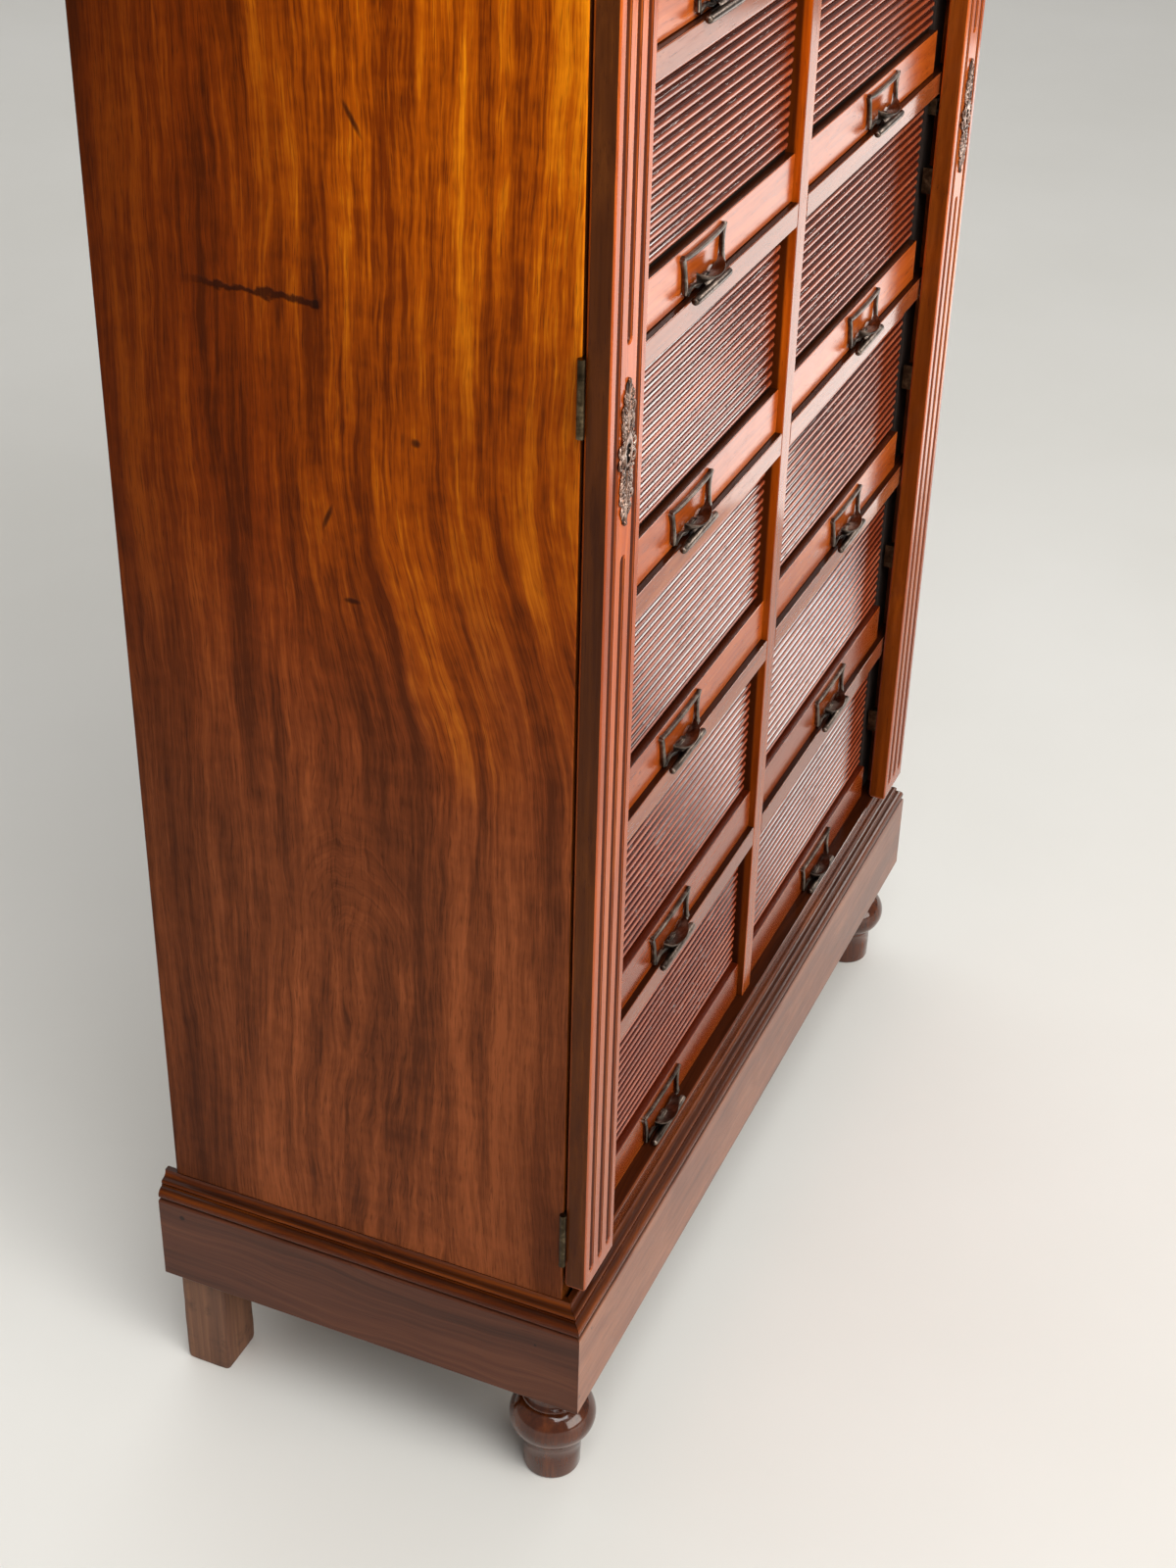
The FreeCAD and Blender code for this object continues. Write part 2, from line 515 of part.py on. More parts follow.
def export():
    """Checks every object of the document, then writes each sub-part."""
    doc.recompute()
    for item in doc.Objects:
        if "Invalid" in item.State or "Error" in item.State:
            raise RuntimeError(f"{item.Name} failed: {item.State}")
    for item in nodes:
        if item.Shape.isNull() or not item.Shape.isValid() or not item.Shape.Solids:
            raise RuntimeError(f"{item.Label} has no valid solid")
    os.makedirs("parts", exist_ok=True)
    for item in nodes:
        item.Shape.exportStep(f"parts/{item.Label}.step")
    box = Part.makeCompound([item.Shape for item in nodes]).BoundBox
    print(f"{len(nodes)} nodes, {box.XLength:.1f} x {box.YLength:.1f} x {box.ZLength:.1f} mm,",
          f"from ({box.XMin:.2f}, {box.YMin:.2f}, {box.ZMin:.2f})")


plinth()
moulding("plinth_moulding", PLINTH_TOP, False)
moulding("cornice_moulding", f"{CASE_TOP} - moulding_height", True)
feet()
case()
drawer_frame()
hinges()
strikes = []
for side, sign in SIDES.items():
    lock_stile(side, sign)
    strikes.append(lock(side, sign))
    escutcheon(side, sign)
    lock_lugs(side, sign)
    for row in ROWS:
        tambour_drawer(side, sign, row)
        label_pull(side, sign, row)
node("strike_plates", strikes)
export()
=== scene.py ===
"""Looks of the tambour filing cabinet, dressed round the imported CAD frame.

Every new shape is a grid of points worked out with numpy: sections carried along a line, a profile
turned round an axis, or a profile led round the case. Places come from the CAD boxes, in metres.
"""
import math

import bmesh
import bpy
import numpy as np
from mathutils import Euler, Matrix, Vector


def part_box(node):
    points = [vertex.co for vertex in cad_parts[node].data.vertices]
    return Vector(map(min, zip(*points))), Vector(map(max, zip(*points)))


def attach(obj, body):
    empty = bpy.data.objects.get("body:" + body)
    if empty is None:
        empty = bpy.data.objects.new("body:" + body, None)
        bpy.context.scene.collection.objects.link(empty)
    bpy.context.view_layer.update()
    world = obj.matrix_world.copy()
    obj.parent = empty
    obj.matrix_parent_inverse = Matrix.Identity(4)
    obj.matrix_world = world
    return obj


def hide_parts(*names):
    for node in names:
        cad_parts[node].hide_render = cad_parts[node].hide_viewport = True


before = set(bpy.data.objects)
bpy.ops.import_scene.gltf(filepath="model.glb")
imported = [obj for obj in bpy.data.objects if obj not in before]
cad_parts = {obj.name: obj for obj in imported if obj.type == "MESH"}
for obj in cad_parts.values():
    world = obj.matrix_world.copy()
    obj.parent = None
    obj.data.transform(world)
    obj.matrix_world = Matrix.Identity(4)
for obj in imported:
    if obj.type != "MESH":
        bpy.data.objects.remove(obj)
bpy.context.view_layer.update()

MM = 0.001
SIDES = ("left", "right")
ROWS = range(1, 9)
CHANCE = np.random.default_rng(1887)


def corners(node):
    """Lowest and highest corner of a CAD node, as arrays."""
    low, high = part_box(node)
    return np.array(low), np.array(high)


PLINTH_LOW, PLINTH_HIGH = corners("plinth_frame")
MOULD_FOOT = corners("plinth_moulding")[0][2]
CORNICE_TOP = corners("cornice_moulding")[1][2]
TOP_LOW, TOP_HIGH = corners("top_board")
PANEL_LOW, PANEL_HIGH = corners("side_panels")
BACK_LOW, BACK_HIGH = corners("back_boards")
SILL_LOW, SILL_HIGH = corners("bottom_board")
DIVIDER_LOW, DIVIDER_HIGH = corners("centre_divider")
RAILS_LOW, RAILS_HIGH = corners("drawer_rails")
FOOT_LOW, FOOT_HIGH = corners("front_feet")
BLOCK_LOW, BLOCK_HIGH = corners("rear_feet")

CASE_HALF = PANEL_HIGH[0]
SIDE_INNER = BACK_HIGH[0]
PLINTH_BOARD = 22 * MM
MOULD_DEPTH = 14 * MM
MOULD_FRONT = PLINTH_LOW[1] + MOULD_DEPTH
FIRST_FLOOR = SILL_HIGH[2]
ROW_PITCH = corners("label_pull_left_2")[0][2] - corners("label_pull_left_1")[0][2]
RAIL_HEIGHT = 18 * MM
RAIL_PROUD = 4 * MM
RAIL_FACE = corners("tambour_drawer_left_1")[0][1] - RAIL_PROUD
SLATS = 16
SLAT_FOOT = 38 * MM
SLAT_GAP = 0.3 * MM
SCROLL_STEPS = 22
FOOT_RADIUS = 34.5 * MM
REAR_FOOT = 44 * MM
STILE_FRONT = corners("left_lock_stile")[0][1]
STILE_MIDDLE = (corners("right_lock_stile")[0][0] + corners("right_lock_stile")[1][0]) / 2
LOCK_LEVEL = (corners("left_escutcheon")[0][2] + corners("left_escutcheon")[1][2]) / 2


def floor_of(row):
    """Level on which a row of drawers runs."""
    return FIRST_FLOOR + (row - 1) * ROW_PITCH


# Shapes: each is an array of points with a list of faces

def grid_faces(rows, columns):
    """Four-sided faces between neighbouring sections; the last column joins the first."""
    row = np.arange(rows - 1)[:, None]
    column = np.arange(columns)[None, :]
    after = (column + 1) % columns
    faces = np.stack([row * columns + column, row * columns + after,
                      (row + 1) * columns + after, (row + 1) * columns + column], axis=-1)
    return faces.reshape(-1, 4).tolist()


def skin(grid):
    """Closed skin over a stack of closed sections, with one flat face at each end."""
    rows, columns = grid.shape[:2]
    faces = grid_faces(rows, columns)
    faces.append(list(range(columns))[::-1])
    faces.append(list(range((rows - 1) * columns, rows * columns)))
    return grid.reshape(-1, 3), faces


def together(shapes):
    """Several shapes as one."""
    points, faces, first = [], [], 0
    for own_points, own_faces in shapes:
        points.append(own_points)
        faces += [[first + corner for corner in face] for face in own_faces]
        first += len(own_points)
    return np.concatenate(points), faces


def mirrored(shape):
    """The same shape on the cabinet's other side."""
    return shape[0] * np.array([-1.0, 1.0, 1.0]), shape[1]


def both_sides(shape):
    """A shape and its mirror image, as one."""
    return together([shape, mirrored(shape)])


def board(low, high, edge=1.0 * MM, steps=3):
    """Board with rounded edges: rounded rectangles carried along the longest side, whose corner
    radius grows as a quarter circle from each end."""
    low, high = np.array(low, float), np.array(high, float)
    along = int(np.argmax(high - low))
    first, second = [axis for axis in range(3) if axis != along]
    half = (high - low) / 2 - edge
    middle = (low + high) / 2
    quarter = np.linspace(0, np.pi / 2, steps + 1)
    angle = np.concatenate([quarter + turn * np.pi / 2 for turn in range(4)])
    side_a = np.repeat([1, -1, -1, 1], steps + 1)
    side_b = np.repeat([1, 1, -1, -1], steps + 1)
    inset = edge * (1 - np.cos(quarter))
    radius = np.concatenate([edge * np.sin(quarter), edge * np.sin(quarter)[::-1]])[:, None]
    grid = np.empty((len(radius), len(angle), 3))
    grid[..., along] = np.concatenate([low[along] + inset, (high[along] - inset)[::-1]])[:, None]
    grid[..., first] = middle[first] + side_a * half[first] + radius * np.cos(angle)
    grid[..., second] = middle[second] + side_b * half[second] + radius * np.sin(angle)
    return skin(grid)


def arc(middle, radius, start, stop, steps):
    """Points of a circle's arc by its middle, its radius and its first and last angle in degrees."""
    angle = np.radians(np.linspace(start, stop, steps + 1))
    return np.stack([middle[0] + radius * np.cos(angle), middle[1] + radius * np.sin(angle)], axis=1)


def turned(profile, centre, axis=2, sides=40):
    """Turned solid: each profile point's radius, at its place along the axis, led round a circle."""
    radius, place = np.array(profile, float).T
    angle = np.linspace(0, 2 * np.pi, sides, endpoint=False)
    first, second = [other for other in range(3) if other != axis]
    grid = np.empty((len(radius), sides, 3))
    grid[..., first] = centre[first] + radius[:, None] * np.cos(angle)
    grid[..., second] = centre[second] + radius[:, None] * np.sin(angle)
    grid[..., axis] = centre[axis] + place[:, None]
    return skin(grid)


def ribbon(path, half_width, half_depth, origin, plane=(0, 2), depth=1, sides=10, boxy=1.0, lift=0.0):
    """Rounded strip along a plane curve: an ellipse stands across each point of the path, half_width
    in the plane and half_depth out of it, and a boxy power below 1 squares it up. A lift carries the
    points out of the plane."""
    path = np.array(path, float)
    run = np.gradient(path, axis=0)
    run /= np.linalg.norm(run, axis=1, keepdims=True)
    across = np.stack([-run[:, 1], run[:, 0]], axis=1)
    angle = np.linspace(0, 2 * np.pi, sides, endpoint=False) + np.pi / sides
    wide = np.sign(np.cos(angle)) * np.abs(np.cos(angle)) ** boxy
    deep = np.sign(np.sin(angle)) * np.abs(np.sin(angle)) ** boxy
    half_width = np.broadcast_to(half_width, len(path))[:, None]
    half_depth = np.broadcast_to(half_depth, len(path))[:, None]
    lift = np.broadcast_to(lift, len(path))[:, None]
    grid = np.empty((len(path), sides, 3))
    for number, axis in enumerate(plane):
        grid[..., axis] = origin[axis] + path[:, number:number + 1] \
            + half_width * across[:, number:number + 1] * wide
    grid[..., depth] = origin[depth] + lift + half_depth * deep
    return skin(grid)


def mitred_lengths(profile, gap=0.2 * MM):
    """A profile led round the case: every point stands out from the case by its first number on the
    front and on the sides, so the lengths meet at 45 degrees. Gives the front and the two sides."""
    out, level = np.array(profile, float).T
    wide = CASE_HALF + out
    front = MOULD_FRONT - out
    back = np.full_like(out, PLINTH_HIGH[1])
    front_length = np.stack([np.stack([gap - wide, front, level], axis=1),
                             np.stack([wide - gap, front, level], axis=1)])
    side_length = np.stack([np.stack([wide, front + gap, level], axis=1),
                            np.stack([wide, back, level], axis=1)])
    return skin(front_length), both_sides(skin(side_length))


def moulding_profile(foot, rise):
    """Section of the moulding on the plinth: quirk, ovolo, fillet, bead, cove and top fillet, as
    distance from the case and level. A rise of -1 hangs it upside down under the top board."""
    line = np.concatenate([
        [[-4.0, 0.0], [10.4, 0.0], [10.4, 2.0], [12.9, 2.6]],
        arc((7.4, 4.6), 5.8, -12, 84, 8),
        [[7.4, 10.6], [7.4, 11.9]],
        arc((5.4, 13.6), 2.1, -52, 76, 6),
        [[4.6, 16.0]],
        arc((5.4, 20.6), 4.6, 262, 188, 6),
        [[0.7, 20.8], [0.7, 22.0], [-4.0, 22.0]],
    ]) * MM
    return np.stack([line[:, 0], foot + rise * line[:, 1]], axis=1)


def plinth_profile():
    """Section of a plinth board: a rectangle with a small round on the outer edges."""
    outer, inner = MOULD_DEPTH, MOULD_DEPTH - PLINTH_BOARD
    low, high = PLINTH_LOW[2], PLINTH_HIGH[2]
    edge = 1.6 * MM
    return np.concatenate([
        [[inner, low]], arc((outer - edge, low + edge), edge, -90, 0, 4),
        arc((outer - edge, high - edge), edge, 0, 90, 4), [[inner, high]],
    ])


def fluted_stile(side):
    """Lock stile: a board whose front is pressed in by three round-bottomed flutes. A flute's depth
    is the part of a circle of its radius, measured from the nearest point of its middle line, so
    its ends are rounded too. The middle flute stops short of the lock."""
    low, high = corners(f"{side}_lock_stile")
    radius, depth, apart, stop, pause = 4.2 * MM, 3.0 * MM, 15.7 * MM, 16 * MM, 73 * MM
    middle = (low[0] + high[0]) / 2
    brim = math.sqrt(radius ** 2 - (radius - depth) ** 2)
    ends = np.array([low[2] + stop, high[2] - stop])
    lines = [(middle + shift * apart, *ends) for shift in (-1, 1)]
    lines += [(middle, ends[0], LOCK_LEVEL - pause), (middle, LOCK_LEVEL + pause, ends[1])]
    edge = 1.6 * MM
    swing, beside = np.sin(np.radians(np.linspace(-90, 90, 13))), 1.06
    bend = brim * np.append(swing, [-beside, beside])
    flute_x = np.concatenate([middle + shift * apart + bend for shift in (-1, 0, 1)])
    across = np.sort(np.concatenate([[low[0] + edge, high[0] - edge], flute_x]))
    stops = np.concatenate([[line[1], line[2]] for line in lines[1:]])
    bends = np.append(bend, radius * np.linspace(-1.0, 1.0, 5))
    level = np.unique(np.concatenate([[low[2] + edge, high[2] - edge],
                                      (stops[:, None] + bends).ravel()]).round(6))
    x, z = np.meshgrid(across, level)
    sunk = np.zeros_like(x)
    for centre, foot, head in lines:
        away = np.hypot(x - centre, z - np.clip(z, foot, head))
        sunk = np.maximum(sunk, np.sqrt(np.maximum(radius ** 2 - away ** 2, 0)) - (radius - depth))
    front = np.stack([x, low[1] + sunk, z], axis=2)
    round_right = arc((high[0] - edge, low[1] + edge), edge, -60, 0, 3)
    round_left = arc((low[0] + edge, low[1] + edge), edge, 180, 240, 3)
    behind = np.concatenate([round_right, [[high[0], high[1] - edge], [high[0] - edge, high[1]],
                                           [low[0] + edge, high[1]], [low[0], high[1] - edge]],
                             round_left])
    rest = np.concatenate([np.broadcast_to(behind, (len(level), len(behind), 2)),
                           np.broadcast_to(level[:, None, None], (len(level), len(behind), 1))], axis=2)
    grid = np.concatenate([front, rest], axis=1)
    ends = grid[[0, -1]].copy()
    centre = np.array([middle, (low[1] + high[1]) / 2])
    ends[..., :2] += np.clip(centre - ends[..., :2], -edge / 2, edge / 2)
    ends[0, :, 2], ends[1, :, 2] = low[2], high[2]
    return skin(np.concatenate([ends[:1], grid, ends[1:]]))


def turned_foot():
    """Front foot: bead, neck, ring, bun and straight toe, turned round an upright axis."""
    top, bun, toe = FOOT_HIGH[2], 55 * MM, 22.8 * MM
    round_bun = np.radians(np.linspace(45, -47, 20))
    profile = np.concatenate([
        [[0, top], [24 * MM, top]],
        arc((23.4 * MM, top - 5.6 * MM), 5.2 * MM, 78, -80, 12),
        [[22.9 * MM, top - 11.4 * MM], [21.8 * MM, top - 14 * MM], [21.7 * MM, top - 19 * MM],
         [22.4 * MM, top - 21.2 * MM]],
        arc((22.6 * MM, bun + 21.3 * MM), 2.1 * MM, 60, -62, 6),
        [[22.9 * MM, bun + 18.9 * MM]],
        np.stack([FOOT_RADIUS * np.cos(round_bun), bun + 26.2 * MM * np.sin(round_bun)], axis=1),
        [[toe + 0.9 * MM, bun - 20.0 * MM], [toe + 0.9 * MM, bun - 21.4 * MM], [toe, bun - 22.2 * MM],
         [toe + 0.3 * MM, 20 * MM], [toe, 2.2 * MM], [toe - 0.5 * MM, 0.6 * MM], [toe - 1.6 * MM, 0.0],
         [0, 0]],
    ])
    axis_x = FOOT_HIGH[0] - FOOT_RADIUS
    axis_y = (FOOT_LOW[1] + FOOT_HIGH[1]) / 2
    return both_sides(turned(profile, (axis_x, axis_y, 0.0), sides=56))


def worn_block():
    """Rear foot: a square post with rounded edges, whose skin moves in and out by a sum of slow
    waves and is knocked in near the floor and at its edges."""
    low = np.array([BLOCK_HIGH[0] - REAR_FOOT, BLOCK_LOW[1], 0.0])
    high = BLOCK_HIGH
    edge, per_side = 3.2 * MM, 9
    half = (high[:2] - low[:2]) / 2
    middle = (high[:2] + low[:2]) / 2
    quarter = np.radians(np.linspace(0, 90, 5))
    corner = np.stack([half[0] - edge + edge * np.cos(quarter), half[1] - edge + edge * np.sin(quarter)], 1)
    flat = np.stack([np.linspace(half[0] - edge, edge - half[0], per_side + 2)[1:-1],
                     np.full(per_side, half[1])], axis=1)
    side = np.stack([np.full(per_side, -half[0]),
                     np.linspace(half[1] - edge, edge - half[1], per_side + 2)[1:-1]], axis=1)
    turn = corner[::-1] * [-1, 1]
    ring = np.concatenate([corner, flat, turn, side])
    ring = np.concatenate([ring, -ring])
    share = np.array([0.0, 0.6, 2.0, 5, 9, 14, 20, 28, 36, 45, 55, 65, 75, 85, 94, 100]) / 100
    level = share * high[2]
    spread = np.array([0.93, 0.965, 0.985] + [1.0] * (len(level) - 3))
    angle = np.arctan2(ring[:, 1], ring[:, 0])
    waves = CHANCE.uniform(0, 2 * np.pi, 4)
    knock = 0.5 * np.sin(3 * angle + waves[0])[None] * np.sin(90 * level + waves[1])[:, None]
    knock = knock + 0.5 * np.sin(8 * angle + waves[2])[None] * np.sin(210 * level + waves[3])[:, None]
    at_corner = np.abs(np.sin(2 * angle))[None] ** 6
    scale = spread[:, None] - 0.008 * (1 + knock) * (0.35 + at_corner)
    grid = np.empty((len(level), len(ring), 3))
    grid[..., :2] = middle + ring[None] * scale[..., None]
    grid[..., 2] = level[:, None]
    return both_sides(skin(grid))


def tambour_slats(side, row):
    """Sixteen half-round slats on a drawer: half circles carried along X, drawn in at both ends, each
    slat a little thicker, longer or lower than the next. They stop short of the divider."""
    low, high = corners(f"tambour_drawer_{side}_{row}")
    foot = floor_of(row) + SLAT_FOOT
    pitch = (high[2] - foot) / SLATS
    radius = (pitch - SLAT_GAP) / 2
    angle = np.radians(np.linspace(90, 270, 13))
    draw_in = np.array([0.45, 0.78, 0.95, 1.0, 1.0])
    draw_in = np.append(draw_in, draw_in[::-1])
    reach = np.array([0.0, 0.5, 1.3, 2.2, 4.0]) * MM
    short = 3.2 * MM
    first = low[0] + (short if side == "right" else 0.0)
    last = high[0] - (short if side == "left" else 0.0)
    shapes = []
    for number in range(SLATS):
        vary = CHANCE.uniform(-1, 1, 4)
        thick = radius * (0.945 + 0.015 * vary[0])
        start = first + (0.9 + 0.5 * vary[1]) * MM
        stop = last - (0.9 + 0.5 * vary[2]) * MM
        place = np.concatenate([start + reach, (stop - reach)[::-1]])
        centre = foot + (number + 0.5) * pitch + 0.10 * MM * vary[3]
        grid = np.empty((len(place), len(angle), 3))
        grid[..., 0] = place[:, None]
        grid[..., 1] = low[1] + radius + thick * draw_in[:, None] * np.cos(angle)
        grid[..., 2] = centre + thick * draw_in[:, None] * np.sin(angle)
        shapes.append(skin(grid))
    return together(shapes)


def tambour_canvas(side, row):
    """Canvas behind the slats: two sheets, one above the other, with a seam between them."""
    low, high = corners(f"tambour_drawer_{side}_{row}")
    inset = 0.4 * MM
    # The lower sheet reaches below the slats, so its dark cloth shows as painted shade in the gap above the
    # drawer rail.
    foot, head = floor_of(row) + 30 * MM, high[2] - inset
    front = low[1] + 3.55 * MM
    seam, overlap = (foot + head) / 2, 4 * MM
    edges = ((foot, seam), (seam - overlap, head))
    return together([board((low[0] + inset, front + step * 0.4 * MM, start),
                           (high[0] - inset, front + (step + 1) * 0.45 * MM, stop), 0.15 * MM, 2)
                     for step, (start, stop) in enumerate(edges)])


def drawer_rail(side, row):
    """Drawer's front rail: a polished face with rounded edges, a little proud of the slats, on a core."""
    low, high = corners(f"tambour_drawer_{side}_{row}")
    foot = floor_of(row)
    face = board((low[0], RAIL_FACE, foot + 0.3 * MM),
                 (high[0], low[1] + 3.4 * MM, foot + 35.2 * MM), 0.9 * MM)
    core = board((low[0] + 1 * MM, low[1] + 3 * MM, foot + 0.8 * MM),
                 (high[0] - 1 * MM, low[1] + 16 * MM, foot + 31 * MM), 0.6 * MM)
    return together([face, core])


def drawer_tray(side, row):
    """Drawer box behind the front: two cheeks, floor and back, each a thin board."""
    low, high = corners(f"tambour_drawer_{side}_{row}")
    foot = floor_of(row)
    front, cheek = low[1] + 4.6 * MM, 9 * MM
    walls = [board((x, front, foot + 0.3 * MM), (x + cheek, high[1], high[2]), 0.8 * MM)
             for x in (low[0], high[0] - cheek)]
    inside = (low[0] + cheek - 0.3 * MM, high[0] - cheek + 0.3 * MM)
    base = foot + 6.3 * MM
    walls.append(board((inside[0], low[1] + 15.5 * MM, base),
                       (inside[1], high[1] - 4 * MM, base + 6 * MM), 0.6 * MM))
    walls.append(board((inside[0], high[1] - 10 * MM, base), (inside[1], high[1], base + 110 * MM), 0.8 * MM))
    return together(walls)


def thumb_scoop(middle, half_width, reach, low, high, tip, thick):
    """Scoop of a label holder: straight lines run out from a chord to a rim that is half an ellipse
    in plan and falls from its ends to its tip. Along each line the height goes with a power of the
    distance, so the scoop is hollow; the underside lies a wall's thickness below."""
    turn = np.radians(np.linspace(9, 171, 31))[:, None]
    bow = np.sin(turn) ** 0.92
    out = np.array([0.0, 0.25, 0.5, 0.7, 0.85, 0.95, 1.0, 1.02,
                    0.99, 0.93, 0.82, 0.68, 0.48, 0.25, 0.0])[None]
    under = np.array([0.0] * 6 + [0.1, -0.5] + [-1.0] * 7)[None] * thick
    rim = high + (tip - high) * bow
    grid = np.empty((len(turn), out.shape[1], 3))
    grid[..., 0] = middle[0] + half_width * np.cos(turn) * (0.55 + 0.45 * out)
    grid[..., 1] = middle[1] - reach * bow * out
    grid[..., 2] = middle[2] + low + (rim - low) * np.minimum(out, 1.0) ** 2.4 + under
    return skin(grid)


def label_holder(side, row):
    """Bronze label holder: a frame of four cast bars, whose posts flare to ears at the top and bend
    forward at the foot, a hollow thumb scoop on it, and a finger bar on a stem below."""
    low, high = corners(f"label_pull_{side}_{row}")
    middle = ((low[0] + high[0]) / 2, RAIL_FACE - 1.4 * MM, floor_of(row))
    way = np.linspace(0, 1, 15)
    forward = -1.4 * MM * (1 - way) ** 2
    post_foot, post_rise = 5.6, 25.2
    level = post_foot + post_rise * way
    lean = 32.4 + 1.6 * way + 3.6 * way ** 5 + 1.2 * (1 - way) ** 6
    flare = 1.9 + 0.7 * (1 - way) ** 4 + 0.5 * way ** 4
    shapes = [ribbon(np.stack([turn * lean, level], axis=1) * MM, flare * MM, 1.7 * MM, middle,
                     boxy=0.55, sides=12, lift=forward) for turn in (-1, 1)]
    span = np.linspace(-1, 1, 25)
    top_half, top_level, upturn = 38.2, 28.0, 2.4
    shapes.append(ribbon(np.stack([top_half * span, top_level + upturn * span ** 4], axis=1) * MM,
                         (1.7 - 0.5 * span ** 6) * MM, 1.8 * MM, middle, boxy=0.6, sides=12))
    low_half, low_level, wave = 33.0, 6.4, 1.3
    wavy = np.stack([low_half * span, low_level + wave * np.cos(3 * np.pi * span)], axis=1)
    shapes.append(ribbon(wavy * MM, 1.7 * MM, 1.6 * MM, middle, boxy=0.7, sides=12, lift=forward[0]))
    shapes.append(thumb_scoop((middle[0], RAIL_FACE - 2.4 * MM, middle[2]), half_width=20.5 * MM,
                              reach=12.6 * MM, low=7.4 * MM, high=17.6 * MM, tip=11.6 * MM, thick=1.2 * MM))
    hang = 0.0 if row == 1 else 2.6 * MM
    bar = (middle[0], low[1] + 3.2 * MM, middle[2] + 3.7 * MM - hang)
    drop = np.linspace(0, 1, 9)
    root, root_level = RAIL_FACE - 1 * MM, 7.6 * MM
    stem = np.stack([root + (bar[1] - root) * drop,
                     root_level + (bar[2] - middle[2] - root_level) * drop ** 2], axis=1)
    shapes.append(ribbon(stem, 1.2 * MM, 7 * MM, (middle[0], 0.0, middle[2]), plane=(1, 2), depth=0,
                         boxy=0.5))
    half, tip, belly = 32.5 * MM, 2.8 * MM, 3.1 * MM
    round_end = arc((0.0, tip - half), tip, -90, 0, 4)
    profile = np.concatenate([round_end, [[belly, -20 * MM], [belly, 20 * MM]],
                              (round_end * [1, -1])[::-1]])
    shapes.append(turned(profile, bar, axis=0, sides=18))
    return together(shapes)


def scroll(middle, first, last, start, stop):
    """Spiral: the radius goes evenly from the first to the last while the angle turns, in degrees."""
    angle = np.radians(np.linspace(start, stop, SCROLL_STEPS))
    radius = np.linspace(first, last, SCROLL_STEPS)
    return np.stack([middle[0] + radius * np.cos(angle), middle[1] + radius * np.sin(angle)], axis=1)


def keyhole_radius(angle):
    """Distance from the middle of a keyhole's round part to its outline, by the angle: the circle,
    or the slot below where that reaches further."""
    round_part, half_slot, drop = 4.0, 2.8, 9.0
    down = np.maximum(-np.sin(angle), 1e-6)
    sideways = np.maximum(np.abs(np.cos(angle)), 1e-6)
    slot = np.minimum(half_slot / sideways, drop / down) * (np.sin(angle) < 0)
    return np.maximum(round_part, slot)


def key_plate_middle(side, out):
    """Middle of a key plate, out from its back by a distance."""
    low, high = corners(f"{side}_escutcheon")
    return ((low[0] + high[0]) / 2, high[1] - out, LOCK_LEVEL)


def key_plate_width(level):
    """Half width of the key plate at a level from its middle, in mm: a waist beside the boss and
    round swellings above and below, which taper to the ends."""
    half_length, half_width = 49, 13.6
    far = np.abs(level) / half_length
    waist = 0.84 + 0.16 * np.cos(4.1 * np.pi * far)
    return half_width * np.sqrt(np.maximum(1 - far ** 3.2, 0.0)) * waist * (1 - 0.22 * far)


def key_plate_ground(side):
    """Thin plate behind the castings: a flat oval section led up the plate's middle line, as wide as
    the outline, which ripples with the leaves."""
    half_length = 46.5
    level = np.linspace(-half_length, half_length, 94)
    wide = key_plate_width(level) * (0.80 + 0.07 * np.sin(1.3 * level))
    path = np.stack([0 * level, level], axis=1)
    return ribbon(path * MM, wide * MM, 0.35 * MM, key_plate_middle(side, 0.4 * MM), sides=14, boxy=0.6)


